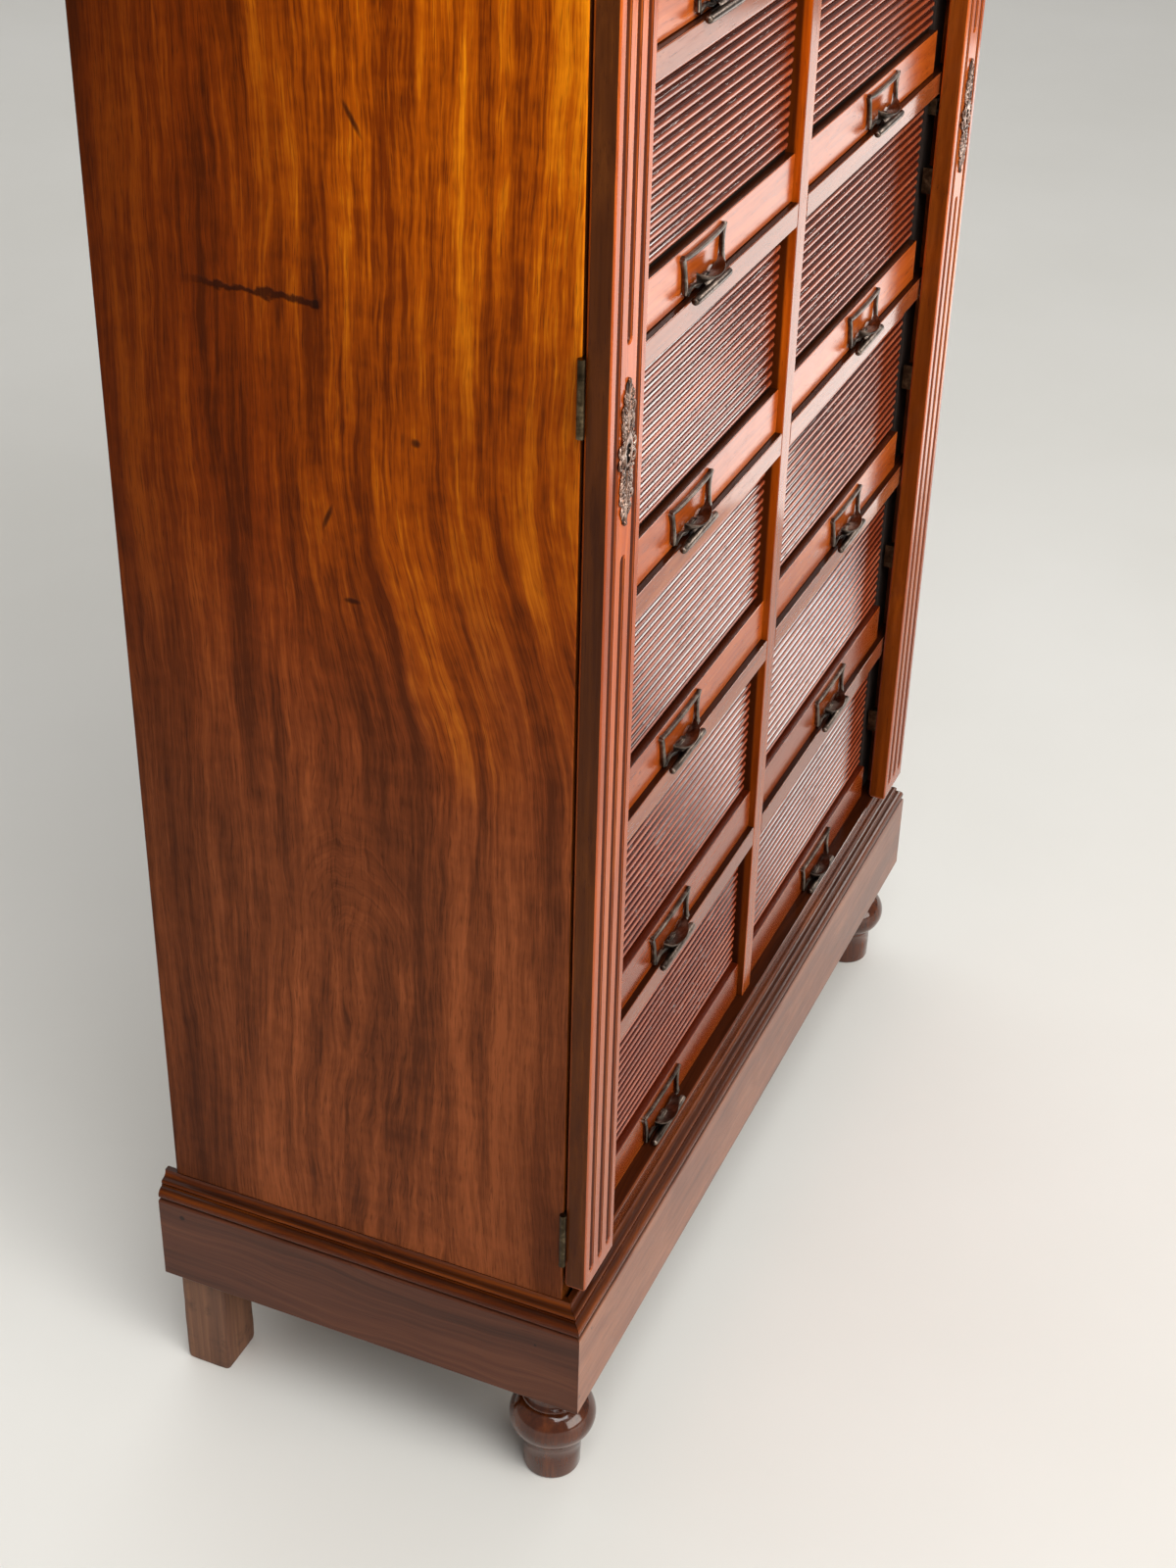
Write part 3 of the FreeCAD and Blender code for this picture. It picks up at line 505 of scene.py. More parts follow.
def foliate_escutcheon(side):
    """Cast key plate: scrolls, overlapping leaves, stems and beads, all rounded strips along spirals
    and bent lines, above and below an oval boss. The boss is a ring between the keyhole's outline
    and an ellipse, domed between them."""
    middle = key_plate_middle(side, 0.6 * MM)
    taper = np.linspace(1, 0, SCROLL_STEPS)
    leaf_way = np.linspace(0, 1, 12)
    swell = np.sin(np.pi * (0.06 + 0.9 * leaf_way)) ** 0.8
    shapes = []
    # Each spiral: its middle, first and last radius, first and last angle, and half its width
    spirals = [((8.4, 5.0), 5.2, 1.2, -165, 215, 1.7), ((7.0, 14.0), 4.2, 1.0, -60, -390, 1.5),
               ((4.6, 21.4), 4.2, 0.9, -110, 250, 1.6), ((6.2, 29.6), 4.4, 1.0, -150, 200, 1.6),
               ((4.2, 37.6), 3.5, 0.8, -120, 220, 1.4)]
    beads = ((14.0, 2.3), (24.0, 1.9), (34.0, 1.8), (46.6, 2.0))
    leaves = [(root, CHANCE.uniform(-1, 1, 3)) for root in np.arange(10.0, 43.0, 3.3)]
    for up in (1, -1):
        for out in (1, -1):
            turn = np.array([out, up])
            for centre, first, last, start, stop, wide in spirals:
                shapes.append(ribbon(scroll(centre, first, last, start, stop) * turn * MM,
                                     (0.7 + (wide - 0.7) * taper) * MM, (0.8 + 0.55 * taper) * MM,
                                     middle, sides=7))
            for root, vary in leaves:
                far = key_plate_width(root + 3.0) * (0.92 + 0.06 * vary[0])
                begin = np.array([1.0, root - 2.0])
                bend = np.array([0.75 * far, root - 2.4 + vary[1]])
                tip = np.array([far, min(root + 3.4 + vary[2], 47.5)])
                way = leaf_way[:, None]
                path = (1 - way) ** 2 * begin + 2 * way * (1 - way) * bend + way ** 2 * tip
                shapes.append(ribbon(path * turn * MM, 1.5 * swell * MM,
                                     (1.3 + 0.25 * vary[0]) * swell * MM, middle, sides=7))
        stem = np.stack([0 * leaf_way, up * (11 + 36 * leaf_way)], axis=1)
        shapes.append(ribbon(stem * MM, (2.0 - 0.9 * leaf_way) * MM, (1.4 - 0.5 * leaf_way) * MM, middle,
                             sides=8))
        for place, size in beads:
            dome = np.radians(np.linspace(0, 180, 8))
            shapes.append(turned(np.stack([size * np.sin(dome), -0.75 * size * np.cos(dome)], 1) * MM,
                                 (middle[0], middle[1], middle[2] + up * place * MM), axis=1, sides=12))
    around, boss_wide, boss_tall = 48, 7.2, 12.0
    angle = np.linspace(0, 2 * np.pi, around, endpoint=False)[:, None]
    inner = keyhole_radius(angle)
    oval = boss_wide * boss_tall / np.hypot(boss_tall * np.cos(angle), boss_wide * np.sin(angle))
    share = np.array([0.0, 0.0, 0.12, 0.5, 0.85, 1.0, 1.0, 0.5])[None]
    height = np.array([0.3, 1.0, 1.25, 1.35, 1.1, 0.6, -0.9, -0.9])[None]
    ring = np.empty((around, share.shape[1], 3))
    far = inner + (oval - inner) * share
    ring[..., 0] = middle[0] + far * np.cos(angle) * MM
    ring[..., 1] = middle[1] - height * MM
    ring[..., 2] = middle[2] + (2.4 + far * np.sin(angle)) * MM
    points = ring.reshape(-1, 3)
    faces = np.array(grid_faces(around + 1, share.shape[1])) % len(points)
    shapes.append((points, faces.tolist()))
    return together(shapes)


def keyhole_throat(side):
    """Near-black dish behind the keyhole, deepest in the middle: painted shade for the hole's depth."""
    x, y, z = key_plate_middle(side, 0.85 * MM)
    profile = np.array([[0, 0.05], [3.0, 0.03], [6.0, -0.05], [7.0, -0.1], [7.0, 0.3], [0, 0.3]]) * MM
    return turned(profile, (x, y, z - 0.2 * MM), axis=1, sides=24)


def frame_rails():
    """Rails over each row, cut off just short of the divider, and one long frieze above the last."""
    joint, edge = 0.35 * MM, 0.9 * MM
    start, stop = DIVIDER_HIGH[0] + joint, SIDE_INNER - 0.1 * MM
    front, back = RAILS_LOW[1], RAILS_HIGH[1]
    levels = [floor_of(row + 1) for row in ROWS]
    rails = [board((start, front, level - RAIL_HEIGHT), (stop, back, level), edge) for level in levels]
    frieze = board((-stop, front, levels[-1] + 0.1 * MM), (stop, back, RAILS_HIGH[2] - 0.2 * MM), edge)
    return together([both_sides(together(rails)), frieze])


def back_planks():
    """Five upright back boards, each with rounded edges and a fine joint beside it."""
    joint, step = 0.4 * MM, 0.3 * MM
    edges = np.linspace(BACK_LOW[0], BACK_HIGH[0], 6)
    return together([board((start + joint, BACK_LOW[1], BACK_LOW[2]),
                           (stop - joint, BACK_HIGH[1] - step * (number % 2), BACK_HIGH[2]), 1.2 * MM)
                     for number, (start, stop) in enumerate(zip(edges[:-1], edges[1:]))])


def corner_blocks():
    """Blocks inside the plinth's corners that hold the feet, with rounded edges."""
    size, height = 84 * MM, 24 * MM
    out = PLINTH_HIGH[0] - PLINTH_BOARD
    deep = PLINTH_HIGH[1] - PLINTH_BOARD
    low = PLINTH_LOW[2]
    return together([both_sides(board((out - size, start, low), (out, start + size, low + height), 1.5 * MM))
                     for start in (-deep, deep - size)])


def nosed_top():
    """Top board: its front and side edges are half round with a small step under the upper face."""
    low, high = TOP_LOW[2], TOP_HIGH[2]
    edging, inset = 50 * MM, 50.3 * MM
    radius = (high - low) / 2 - 1 * MM
    profile = np.concatenate([
        [[-edging, low], [0.6 * MM, low]],
        arc((MOULD_DEPTH - radius, low + radius), radius, -80, 80, 14),
        [[5.0 * MM, high - 1.6 * MM], [4.6 * MM, high - 0.5 * MM], [3.9 * MM, high], [-edging, high]],
    ])
    front, ends = mitred_lengths(profile, 0.0)
    middle = board((inset - CASE_HALF, MOULD_FRONT + inset, low),
                   (CASE_HALF - inset, TOP_HIGH[1], high), 0.6 * MM)
    return together([front, ends, middle])


# Finishes

def tint(red, green, blue):
    """A colour as seen on a screen, 0 to 255, as the linear values that a shader takes."""
    value = np.array([red, green, blue]) / 255
    linear = np.where(value <= 0.04045, value / 12.92, ((value + 0.055) / 1.055) ** 2.4)
    return (*linear.tolist(), 1.0)


class Finish:
    """A material being made: each method adds its nodes and gives back their output. A colour is
    written as its three numbers on a screen."""

    def __init__(self, name, **constant):
        self.material = bpy.data.materials.new(name)
        self.material.use_nodes = True
        self.tree = self.material.node_tree
        self.tree.nodes.clear()
        self.shader = self.tree.nodes.new("ShaderNodeBsdfPrincipled")
        output = self.tree.nodes.new("ShaderNodeOutputMaterial")
        self.tree.links.new(self.shader.outputs["BSDF"], output.inputs["Surface"])
        where = self.tree.nodes.new("ShaderNodeTexCoord")
        self.place = where.outputs["Object"]
        self.facing = where.outputs["Normal"]
        for key, value in constant.items():
            self.shader.inputs[key.replace("_", " ")].default_value = value

    def put(self, socket, value):
        """Links another node's output to a socket, or sets the socket's own value."""
        if isinstance(value, bpy.types.NodeSocket):
            self.tree.links.new(value, socket)
        else:
            socket.default_value = value

    def calc(self, operation, first, second=0.0, clamp=False):
        node = self.tree.nodes.new("ShaderNodeMath")
        node.operation = operation
        node.use_clamp = clamp
        self.put(node.inputs[0], first)
        self.put(node.inputs[1], second)
        return node.outputs[0]

    def chain(self, operation, values):
        """One operation carried through several values."""
        total = values[0]
        for value in values[1:]:
            total = self.calc(operation, total, value)
        return total

    def add(self, *values):
        return self.chain("ADD", values)

    def times(self, *values):
        return self.chain("MULTIPLY", values)

    def most(self, *values):
        return self.chain("MAXIMUM", values)

    def rest_of(self, share):
        return self.calc("SUBTRACT", 1.0, share)

    def swing(self, noise, amount):
        """Noise as a shift to either side."""
        return self.times(self.calc("SUBTRACT", noise, 0.5), amount)

    def length(self, *parts):
        """Length of a line by its parts along the axes."""
        return self.calc("SQRT", self.add(*[self.times(part, part) for part in parts]))

    def split(self, vector):
        node = self.tree.nodes.new("ShaderNodeSeparateXYZ")
        self.put(node.inputs[0], vector)
        return node.outputs

    def join(self, x, y, z):
        node = self.tree.nodes.new("ShaderNodeCombineXYZ")
        for socket, value in zip(node.inputs, (x, y, z)):
            self.put(socket, value)
        return node.outputs[0]

    def stretch(self, place, scale, shift=(0, 0, 0)):
        node = self.tree.nodes.new("ShaderNodeMapping")
        self.put(node.inputs["Vector"], place)
        node.inputs["Scale"].default_value = scale
        node.inputs["Location"].default_value = shift
        return node.outputs[0]

    def noise(self, place, scale, detail=3.0, rough=0.5):
        node = self.tree.nodes.new("ShaderNodeTexNoise")
        self.put(node.inputs["Vector"], place)
        node.inputs["Scale"].default_value = scale
        node.inputs["Detail"].default_value = detail
        node.inputs["Roughness"].default_value = rough
        return node.outputs[0]

    def grained(self, place, axis, across, along, detail=3.0, rough=0.5):
        """Noise that is fine across the grain and long along it."""
        scale = [across] * 3
        scale[axis] = along
        return self.noise(self.stretch(place, scale), 1.0, detail, rough)

    def ease(self, value, start, stop, low=0.0, high=1.0):
        """Smooth step from low to high while the value goes from start to stop."""
        node = self.tree.nodes.new("ShaderNodeMapRange")
        node.interpolation_type = "SMOOTHSTEP"
        for socket, number in zip(node.inputs[:5], (value, start, stop, low, high)):
            self.put(socket, number)
        return node.outputs[0]

    def between(self, value, start, full, fade, stop):
        """Rises while the value goes from start to full, and falls while it goes from fade to stop."""
        return self.times(self.ease(value, start, full), self.ease(value, stop, fade))

    def ramp(self, value, stops):
        node = self.tree.nodes.new("ShaderNodeValToRGB")
        self.put(node.inputs[0], value)
        elements = node.color_ramp.elements
        for number, (place, colour) in enumerate(stops):
            element = elements[number] if number < 2 else elements.new(place)
            element.position = place
            element.color = tint(*colour)
        return node.outputs[0]

    def mix(self, share, first, second):
        """The first tone, going over to the second by the share."""
        node = self.tree.nodes.new("ShaderNodeMix")
        node.data_type = "RGBA"
        self.put(node.inputs[0], share)
        self.put(node.inputs[6], first)
        self.put(node.inputs[7], tint(*second) if isinstance(second, tuple) else second)
        return node.outputs[2]

    def bump(self, height, strength, distance):
        node = self.tree.nodes.new("ShaderNodeBump")
        node.inputs["Strength"].default_value = strength
        node.inputs["Distance"].default_value = distance
        self.put(node.inputs["Height"], height)
        self.put(self.shader.inputs["Normal"], node.outputs[0])

    def colour(self, value):
        self.put(self.shader.inputs["Base Color"], value)

    def roughness(self, value):
        self.put(self.shader.inputs["Roughness"], value)


PORE = (48, 18, 8)
UPWARD_SHADE = (18, 7, 3)
SLAT_TOP_SHADE = (52, 13, 6)
SLAT_FLOOR_SHEEN = (226, 150, 120)
FLUTE_SHADE = (52, 18, 7)
RECESS_SHADE = (34, 11, 5)
NAIL_HOLE = (24, 12, 8)
ARCH_TONE = (72, 31, 15)
PANEL_SHADE = (52, 20, 5)
PANEL_PORE = (46, 17, 5)
CRACK_TONE = (40, 14, 4)
SCUFF = (46, 28, 18)
BARE_WOOD = ((96, 62, 36), (150, 108, 70))


def mahogany(name, axis, dark, middle, light, rough=0.12, shine=0.5, pores=0.5,
             top_shade=0.0, quirk=0.0, hollow=False, recess=False, floor_light=None, spots=()):
    """Polished mahogany with its grain along one axis: broad bands and fine streaks choose between
    three tones, short dark pores lie along the grain, painted shade darkens the faces that look up,
    and the polish is slightly uneven. Slats get painted shade above, under the next slat, and a
    painted floor reflection below. On a stile the flutes get painted shade, beside the drawers painted
    shade darkens the wood inwards, towards the floor some pieces go over to painted shade and others to
    a painted floor reflection, and nail holes are round spots."""
    finish = Finish(name, Specular_IOR_Level=shine)
    parts = list(finish.split(finish.place))
    other = (axis + 1) % 3
    parts[other] = finish.add(parts[other], finish.swing(finish.noise(finish.place, 5.0, 2.0), 0.05))
    place = finish.join(*parts)
    bands = finish.grained(place, axis, 34, 1.6, 3.0, 0.55)
    streaks = finish.grained(place, axis, 240, 4.5, 4.0, 0.6)
    value = finish.add(finish.times(bands, 0.62), finish.times(streaks, 0.38))
    tone = finish.ramp(value, [(0.34, dark), (0.5, middle), (0.66, light)])
    pore = finish.ease(finish.grained(place, axis, 1100, 32, 2.0), 0.60, 0.74)
    tone = finish.mix(finish.times(pore, pores), tone, PORE)
    # Painted shade: faces that look up are darkened.
    if top_shade:
        upward = finish.split(finish.facing)[2]
        tone = finish.mix(finish.ease(upward, 0.55, 0.95, 0.0, top_shade), tone, UPWARD_SHADE)
    # Painted shade on each slat's upper part, under the next slat, and a painted reflection of the floor,
    # lighter, on its lower part.
    if quirk:
        upward = finish.split(finish.facing)[2]
        tone = finish.mix(finish.ease(upward, 0.08, 0.72, 0.0, quirk), tone, SLAT_TOP_SHADE)
        tone = finish.mix(finish.ease(upward, -0.05, -0.50, 0.0, 0.3 * quirk), tone, SLAT_FLOOR_SHEEN)
    # Towards the floor: painted shade on some pieces, a painted reflection of the pale floor on others.
    if floor_light:
        start, stop, share, floor_light_tone = floor_light
        level = finish.split(finish.place)[2]
        tone = finish.mix(finish.ease(level, start, stop, 0.0, share), tone, floor_light_tone)
    # Painted shade in the flutes.
    if hollow:
        across, depth = finish.split(finish.place)[:2]
        within = finish.calc("ABSOLUTE", finish.add(finish.calc("ABSOLUTE", across), -STILE_MIDDLE))
        sunk = finish.times(finish.ease(depth, STILE_FRONT + 0.3 * MM, STILE_FRONT + 1.6 * MM, 0.0, 0.9),
                            finish.ease(within, 24 * MM, 21.5 * MM))
        tone = finish.mix(sunk, tone, FLUTE_SHADE)
    # Painted shade deeper in beside the drawers.
    if recess:
        depth = finish.split(finish.place)[1]
        inward = finish.ease(depth, DIVIDER_LOW[1] + 5.0 * MM, DIVIDER_LOW[1] + 7.5 * MM, 0.0, 0.85)
        tone = finish.mix(inward, tone, RECESS_SHADE)
    for spot, radius in spots:
        off = finish.stretch(finish.place, (1.0, 1.0, 1.0), tuple(-number for number in spot))
        away = finish.length(*finish.split(off))
        tone = finish.mix(finish.ease(away, radius * 1.5, radius * 0.7, 0.0, 0.85), tone, NAIL_HOLE)
    finish.colour(tone)
    finish.roughness(finish.add(finish.times(finish.noise(finish.place, 60.0, 2.0), 0.06), rough - 0.03))
    swell = finish.grained(finish.place, axis, 22, 5, 1.0)
    finish.bump(finish.add(finish.times(pore, -0.06), finish.times(swell, 0.06)), 0.35, 0.0012)
    return finish.material


# Each knot of the left panel: its place in Y and Z, half its width and height, and its slant
KNOTS = ((-0.016, 1.072, 0.0022, 0.0100, 0.55), (-0.053, 0.878, 0.0032, 0.0030, 0.0),
         (0.011, 0.814, 0.0020, 0.0090, -0.4), (-0.005, 0.758, 0.0060, 0.0022, 0.0))
ARCH_Y, ARCH_Z = 0.004, 0.465
CRACK_LEVEL, CRACK_END = 0.957, 0.013


def figured_mahogany():
    """Side panels: one broad board. The grain runs upright, leans over towards the front half way
    down, and closes into soft arches over one point below. Golden bands follow the grain in the
    upper half and the lean, with a honey tone beside them, and a crack and a few small knots mark
    the left panel."""
    finish = Finish("figured_side_mahogany", Specular_IOR_Level=0.05)
    x, y, z = finish.split(finish.place)

    def lines(across, fine, along, slow, detail, rough=0.5):
        """Noise in long lines: fine across them and slow along them."""
        place = finish.join(finish.times(across, fine), finish.times(along, slow), x)
        return finish.noise(place, 1.0, detail, rough)

    sway = finish.swing(finish.noise(finish.stretch(finish.place, (1.0, 4.0, 1.6)), 1.0, 2.0), 0.05)
    wander = finish.swing(finish.noise(finish.stretch(finish.place, (1.0, 22.0, 9.0)), 1.0, 3.0, 0.6), 0.011)
    lean = finish.times(finish.ease(z, 0.87, 0.64), finish.ease(y, 0.06, -0.10), 0.048)
    grain = finish.add(y, sway, wander, lean)
    apart = finish.length(finish.times(finish.add(y, -ARCH_Y, sway, wander), 1.9),
                          finish.add(z, -ARCH_Z, finish.times(wander, 2.0)))
    apart = finish.add(apart, finish.times(wander, 2.2))
    arched = finish.times(finish.ease(apart, 0.16, 0.07), finish.ease(z, 0.455, 0.53), 0.62)
    upright = finish.rest_of(arched)

    broad = lines(grain, 17.0, z, 1.3, 2.0)
    arches = lines(apart, 60.0, y, 6.0, 3.0, 0.6)
    bands = finish.add(finish.times(lines(grain, 75.0, z, 4.0, 3.0, 0.6), upright),
                       finish.times(arches, arched))
    fibre = finish.add(finish.times(lines(grain, 430.0, z, 15.0, 4.0, 0.66), upright),
                       finish.times(lines(apart, 230.0, y, 14.0, 4.0, 0.66), arched))
    ripple = lines(grain, 60.0, z, 75.0, 2.0)
    streak = finish.add(finish.times(broad, 0.33), finish.times(bands, 0.36), finish.times(fibre, 0.32),
                        finish.times(ripple, 0.09), -0.055)
    red = finish.ramp(streak, [(0.40, (82, 30, 2)), (0.50, (124, 48, 3)), (0.60, (164, 75, 8))])
    gold = finish.ramp(streak, [(0.40, (120, 46, 1)), (0.49, (186, 86, 2)), (0.60, (244, 142, 12))])
    brown = finish.ramp(streak, [(0.40, (86, 43, 22)), (0.50, (124, 64, 33)), (0.60, (156, 84, 46))])

    high_up = finish.times(finish.ease(finish.add(z, finish.times(sway, 2.0)), 0.80, 1.06),
                           finish.ease(grain, 0.09, -0.04))
    leaning = finish.times(finish.between(grain, -0.100, -0.045, -0.030, -0.012),
                           finish.between(z, 0.60, 0.68, 0.86, 1.00), 0.6)
    at_front = finish.times(finish.ease(grain, -0.085, -0.100),
                            finish.between(z, 0.62, 0.72, 0.80, 0.95), 0.2)
    honey = finish.times(finish.ease(grain, 0.05, 0.005), finish.ease(z, 0.66, 0.82), 0.36)
    golden = finish.most(high_up, leaning, at_front, honey)
    colour = finish.mix(golden, red, gold)
    # Towards the floor the colour goes over to a greyer brown: partly the wood's own tone, partly a painted
    # reflection of the pale floor.
    downward = finish.times(finish.ease(z, 0.86, 0.50), finish.rest_of(finish.times(golden, 0.5)))
    colour = finish.mix(downward, colour, brown)
    rings = finish.times(finish.ease(arches, 0.46, 0.58), arched, finish.ease(apart, 0.012, 0.035), 0.4)
    colour = finish.mix(rings, colour, ARCH_TONE)
    # Painted shade towards the back edge and in the low front corner.
    low_corner = finish.times(finish.ease(y, -0.06, -0.165), finish.ease(z, 0.62, 0.26), 0.5)
    shade = finish.most(finish.ease(y, 0.05, 0.172, 0.0, 0.5), low_corner)
    colour = finish.mix(shade, colour, PANEL_SHADE)
    pore = finish.most(finish.ease(lines(grain, 880.0, z, 42.0, 2.0), 0.60, 0.76),
                       finish.ease(lines(grain, 1300.0, z, 60.0, 2.0), 0.56, 0.70))
    colour = finish.mix(finish.times(pore, 0.42), colour, PANEL_PORE)

    waver = finish.swing(finish.noise(finish.place, 60.0, 4.0, 0.6), 0.016)
    off_level = finish.calc("ABSOLUTE", finish.add(z, -CRACK_LEVEL, waver))
    beside = finish.calc("ABSOLUTE", finish.add(y, -CRACK_END, finish.times(waver, 0.3)))
    crack = finish.add(
        finish.times(finish.ease(off_level, 0.0034, 0.0010), finish.between(y, 0.006, 0.014, 0.080, 0.112)),
        finish.times(finish.ease(beside, 0.0026, 0.0006), finish.between(z, 0.948, 0.956, 0.970, 1.000), 0.8))
    for knot_y, knot_z, wide, tall, slant in KNOTS:
        off_z = finish.add(z, -knot_z)
        off_y = finish.times(finish.add(y, -knot_y, finish.times(off_z, -slant)), 1 / wide)
        off_z = finish.times(off_z, 1 / tall)
        away = finish.add(finish.times(off_y, off_y), finish.times(off_z, off_z), finish.times(waver, 90.0))
        crack = finish.add(crack, finish.ease(away, 1.6, 0.0))
    crack = finish.times(crack, finish.ease(x, 0.0, -0.1))
    finish.colour(finish.mix(finish.calc("MULTIPLY", crack, 0.85, clamp=True), colour, CRACK_TONE))
    finish.roughness(finish.add(finish.times(finish.noise(finish.place, 30.0, 3.0), 0.14), 0.30))
    finish.bump(finish.add(finish.times(pore, -0.10), finish.times(crack, -0.5), finish.times(broad, 0.12)),
                0.35, 0.001)
    return finish.material


def rough_wood(name, axis, dark, light):
    """Bare or worn wood: bands and streaks along the grain, dark scuffs, dry surface."""
    finish = Finish(name)
    streaks = finish.grained(finish.place, axis, 210, 6, 4.0, 0.6)
    bands = finish.grained(finish.place, axis, 22, 1.4)
    value = finish.add(finish.times(streaks, 0.55), finish.times(bands, 0.45))
    tone = finish.ramp(value, [(0.36, dark), (0.64, light)])
    scuff = finish.ease(finish.noise(finish.place, 55.0, 4.0, 0.65), 0.52, 0.72)
    finish.colour(finish.mix(finish.times(scuff, 0.5), tone, SCUFF))
    finish.roughness(finish.add(finish.times(streaks, 0.25), 0.55))
    finish.bump(streaks, 0.5, 0.0012)
    return finish.material


def tambour_canvas_finish():
    """Canvas: two crossed sets of threads, brown with age and darkened almost to black as painted shade in
    the gaps between and below the slats.
    """
    finish = Finish("tambour_canvas", Specular_IOR_Level=0.1)
    parts = finish.split(finish.place)
    threads = 5200.0
    cloth = finish.times(*[finish.calc("SINE", finish.times(parts[axis], threads)) for axis in (0, 2)])
    stain = finish.noise(finish.place, 14.0, 4.0)
    value = finish.add(finish.times(cloth, 0.12), finish.times(stain, 0.8))
    finish.colour(finish.ramp(value, [(0.2, (13, 8, 5)), (0.7, (34, 22, 15))]))
    finish.roughness(finish.add(finish.times(stain, 0.2), 0.75))
    finish.bump(cloth, 0.4, 0.0004)
    return finish.material


def cast_metal(name, dark, middle, light, rough):
    """Cast and handled metal: darker and rubbed brighter in patches, with a fine skin."""
    finish = Finish(name, Metallic=1.0)
    patch = finish.noise(finish.place, 70.0, 4.0, 0.6)
    fine_skin = finish.noise(finish.place, 320.0, 3.0, 0.6)
    value = finish.add(finish.times(patch, 0.65), finish.times(fine_skin, 0.35))
    finish.colour(finish.ramp(value, [(0.34, dark), (0.5, middle), (0.66, light)]))
    finish.roughness(finish.add(finish.times(patch, 0.25), rough - 0.12))
    finish.bump(fine_skin, 0.4, 0.0003)
    return finish.material


def pale_floor_finish():
    """Painted floor: nearly white, slightly cloudy."""
    finish = Finish("pale_floor", Specular_IOR_Level=0.3)
    cloud = finish.noise(finish.place, 1.3, 4.0, 0.55)
    finish.colour(finish.ramp(cloud, [(0.3, (228, 227, 221)), (0.7, (234, 233, 228))]))
    finish.roughness(finish.add(finish.times(finish.noise(finish.place, 9.0, 3.0), 0.15), 0.38))
    return finish.material


side_wood = figured_mahogany()
# Frame rails go over to a greyer, pinker tone towards the floor: painted reflection of the pale floor.
rail_wood = mahogany("rail_mahogany", 0, (114, 51, 21), (141, 68, 31), (166, 90, 46), shine=0.4,
                     floor_light=(0.9, 0.3, 0.45, (112, 66, 52)))
sill_wood = mahogany("sill_mahogany", 0, (58, 23, 8), (82, 35, 12), (110, 52, 20), shine=0.3)
# Drawer rails: painted shade on the faces that look up, and painted shade, darker and redder, towards the
# floor.
drawer_rail_wood = mahogany("drawer_rail_mahogany", 0, (149, 63, 18), (184, 85, 26), (212, 110, 40),
                            rough=0.2, shine=0.5, top_shade=0.95, floor_light=(0.80, 0.30, 0.7, (84, 24, 7)))
# Darker copy for the tops and undersides of the sill and frame rails: painted shade.
rail_top_shade_wood = mahogany("rail_top_shade_mahogany", 0, (34, 13, 5), (48, 19, 7), (66, 28, 10), shine=0.05)
upright_wood = mahogany("upright_mahogany", 2, (128, 56, 20), (158, 75, 29), (188, 100, 43), shine=0.36)
# Stiles: painted shade in the flutes, and a greyer tone towards the floor: painted reflection of the pale
# floor.
stile_wood = mahogany("stile_mahogany", 2, (156, 64, 17), (194, 88, 25), (222, 116, 39), shine=0.16,
                      hollow=True, floor_light=(1.0, 0.25, 0.65, (138, 84, 66)))
# Darker copy for the side panels' front and back edges and the left stile's sides: painted shade.
flank_shade_wood = mahogany("stile_side_shaded_mahogany", 2, (62, 28, 8), (86, 42, 12), (112, 60, 19), shine=0.1)
# Divider sides: painted shade deeper in beside the drawers and towards the floor.
inner_wood = mahogany("inner_side_mahogany", 2, (170, 70, 6), (214, 98, 12), (240, 126, 22), shine=0.1,
                      recess=True, floor_light=(1.15, 0.15, 0.9, RECESS_SHADE))
# Darker copy for the right stile's sides: painted shade.
far_flank_shade_wood = mahogany("right_stile_shaded_mahogany", 2, (88, 38, 7), (118, 55, 12), (146, 74, 20), shine=0.1)
# Slats: painted shade above and a painted floor reflection below, on each slat.
slat_wood = mahogany("tambour_mahogany", 0, (128, 54, 32), (164, 78, 49), (192, 102, 70),
                     rough=0.07, pores=0.3, quirk=0.95)
# Plinth front: painted shade on the faces that look up.
plinth_wood = mahogany("plinth_mahogany", 0, (77, 41, 26), (120, 68, 44), (153, 96, 66), rough=0.3, top_shade=0.6,
                       spots=[((-0.386, -0.183, 0.1715), 1.1 * MM), ((-0.4065, -0.183, 0.1175), 1.2 * MM)])
plinth_end_wood = mahogany("plinth_side_mahogany", 1, (58, 30, 19), (88, 48, 31), (112, 66, 44),
                           rough=0.34, shine=0.2,
                           spots=[((-0.41, -0.147, 0.160), 1.0 * MM), ((-0.41, 0.162, 0.168), 2.0 * MM)])
# Mouldings: painted shade on the faces that look up.
moulding_wood = mahogany("moulding_mahogany", 0, (54, 22, 7), (82, 36, 12), (116, 56, 19),
                         rough=0.2, shine=0.2, top_shade=0.5)
moulding_end_wood = mahogany("moulding_side_mahogany", 1, (52, 20, 5), (80, 33, 8), (118, 56, 14),
                             shine=0.14, top_shade=0.7)
foot_wood = mahogany("turned_foot_mahogany", 2, (50, 20, 6), (76, 33, 10), (106, 52, 18),
                     rough=0.1, shine=0.6)
carcase_wood = rough_wood("carcase_wood", 0, *BARE_WOOD)
carcase_depth_wood = rough_wood("carcase_wood_depth", 1, *BARE_WOOD)
back_wood = rough_wood("back_board_wood", 2, (84, 54, 32), (132, 94, 60))
# Near-black guide posts: painted shade in the gap at the drawers' ends.
post_shade_wood = rough_wood("guide_post_shade_wood", 2, (20, 11, 6), (40, 24, 14))
block_wood = rough_wood("rear_foot_wood", 2, (86, 52, 34), (140, 96, 68))
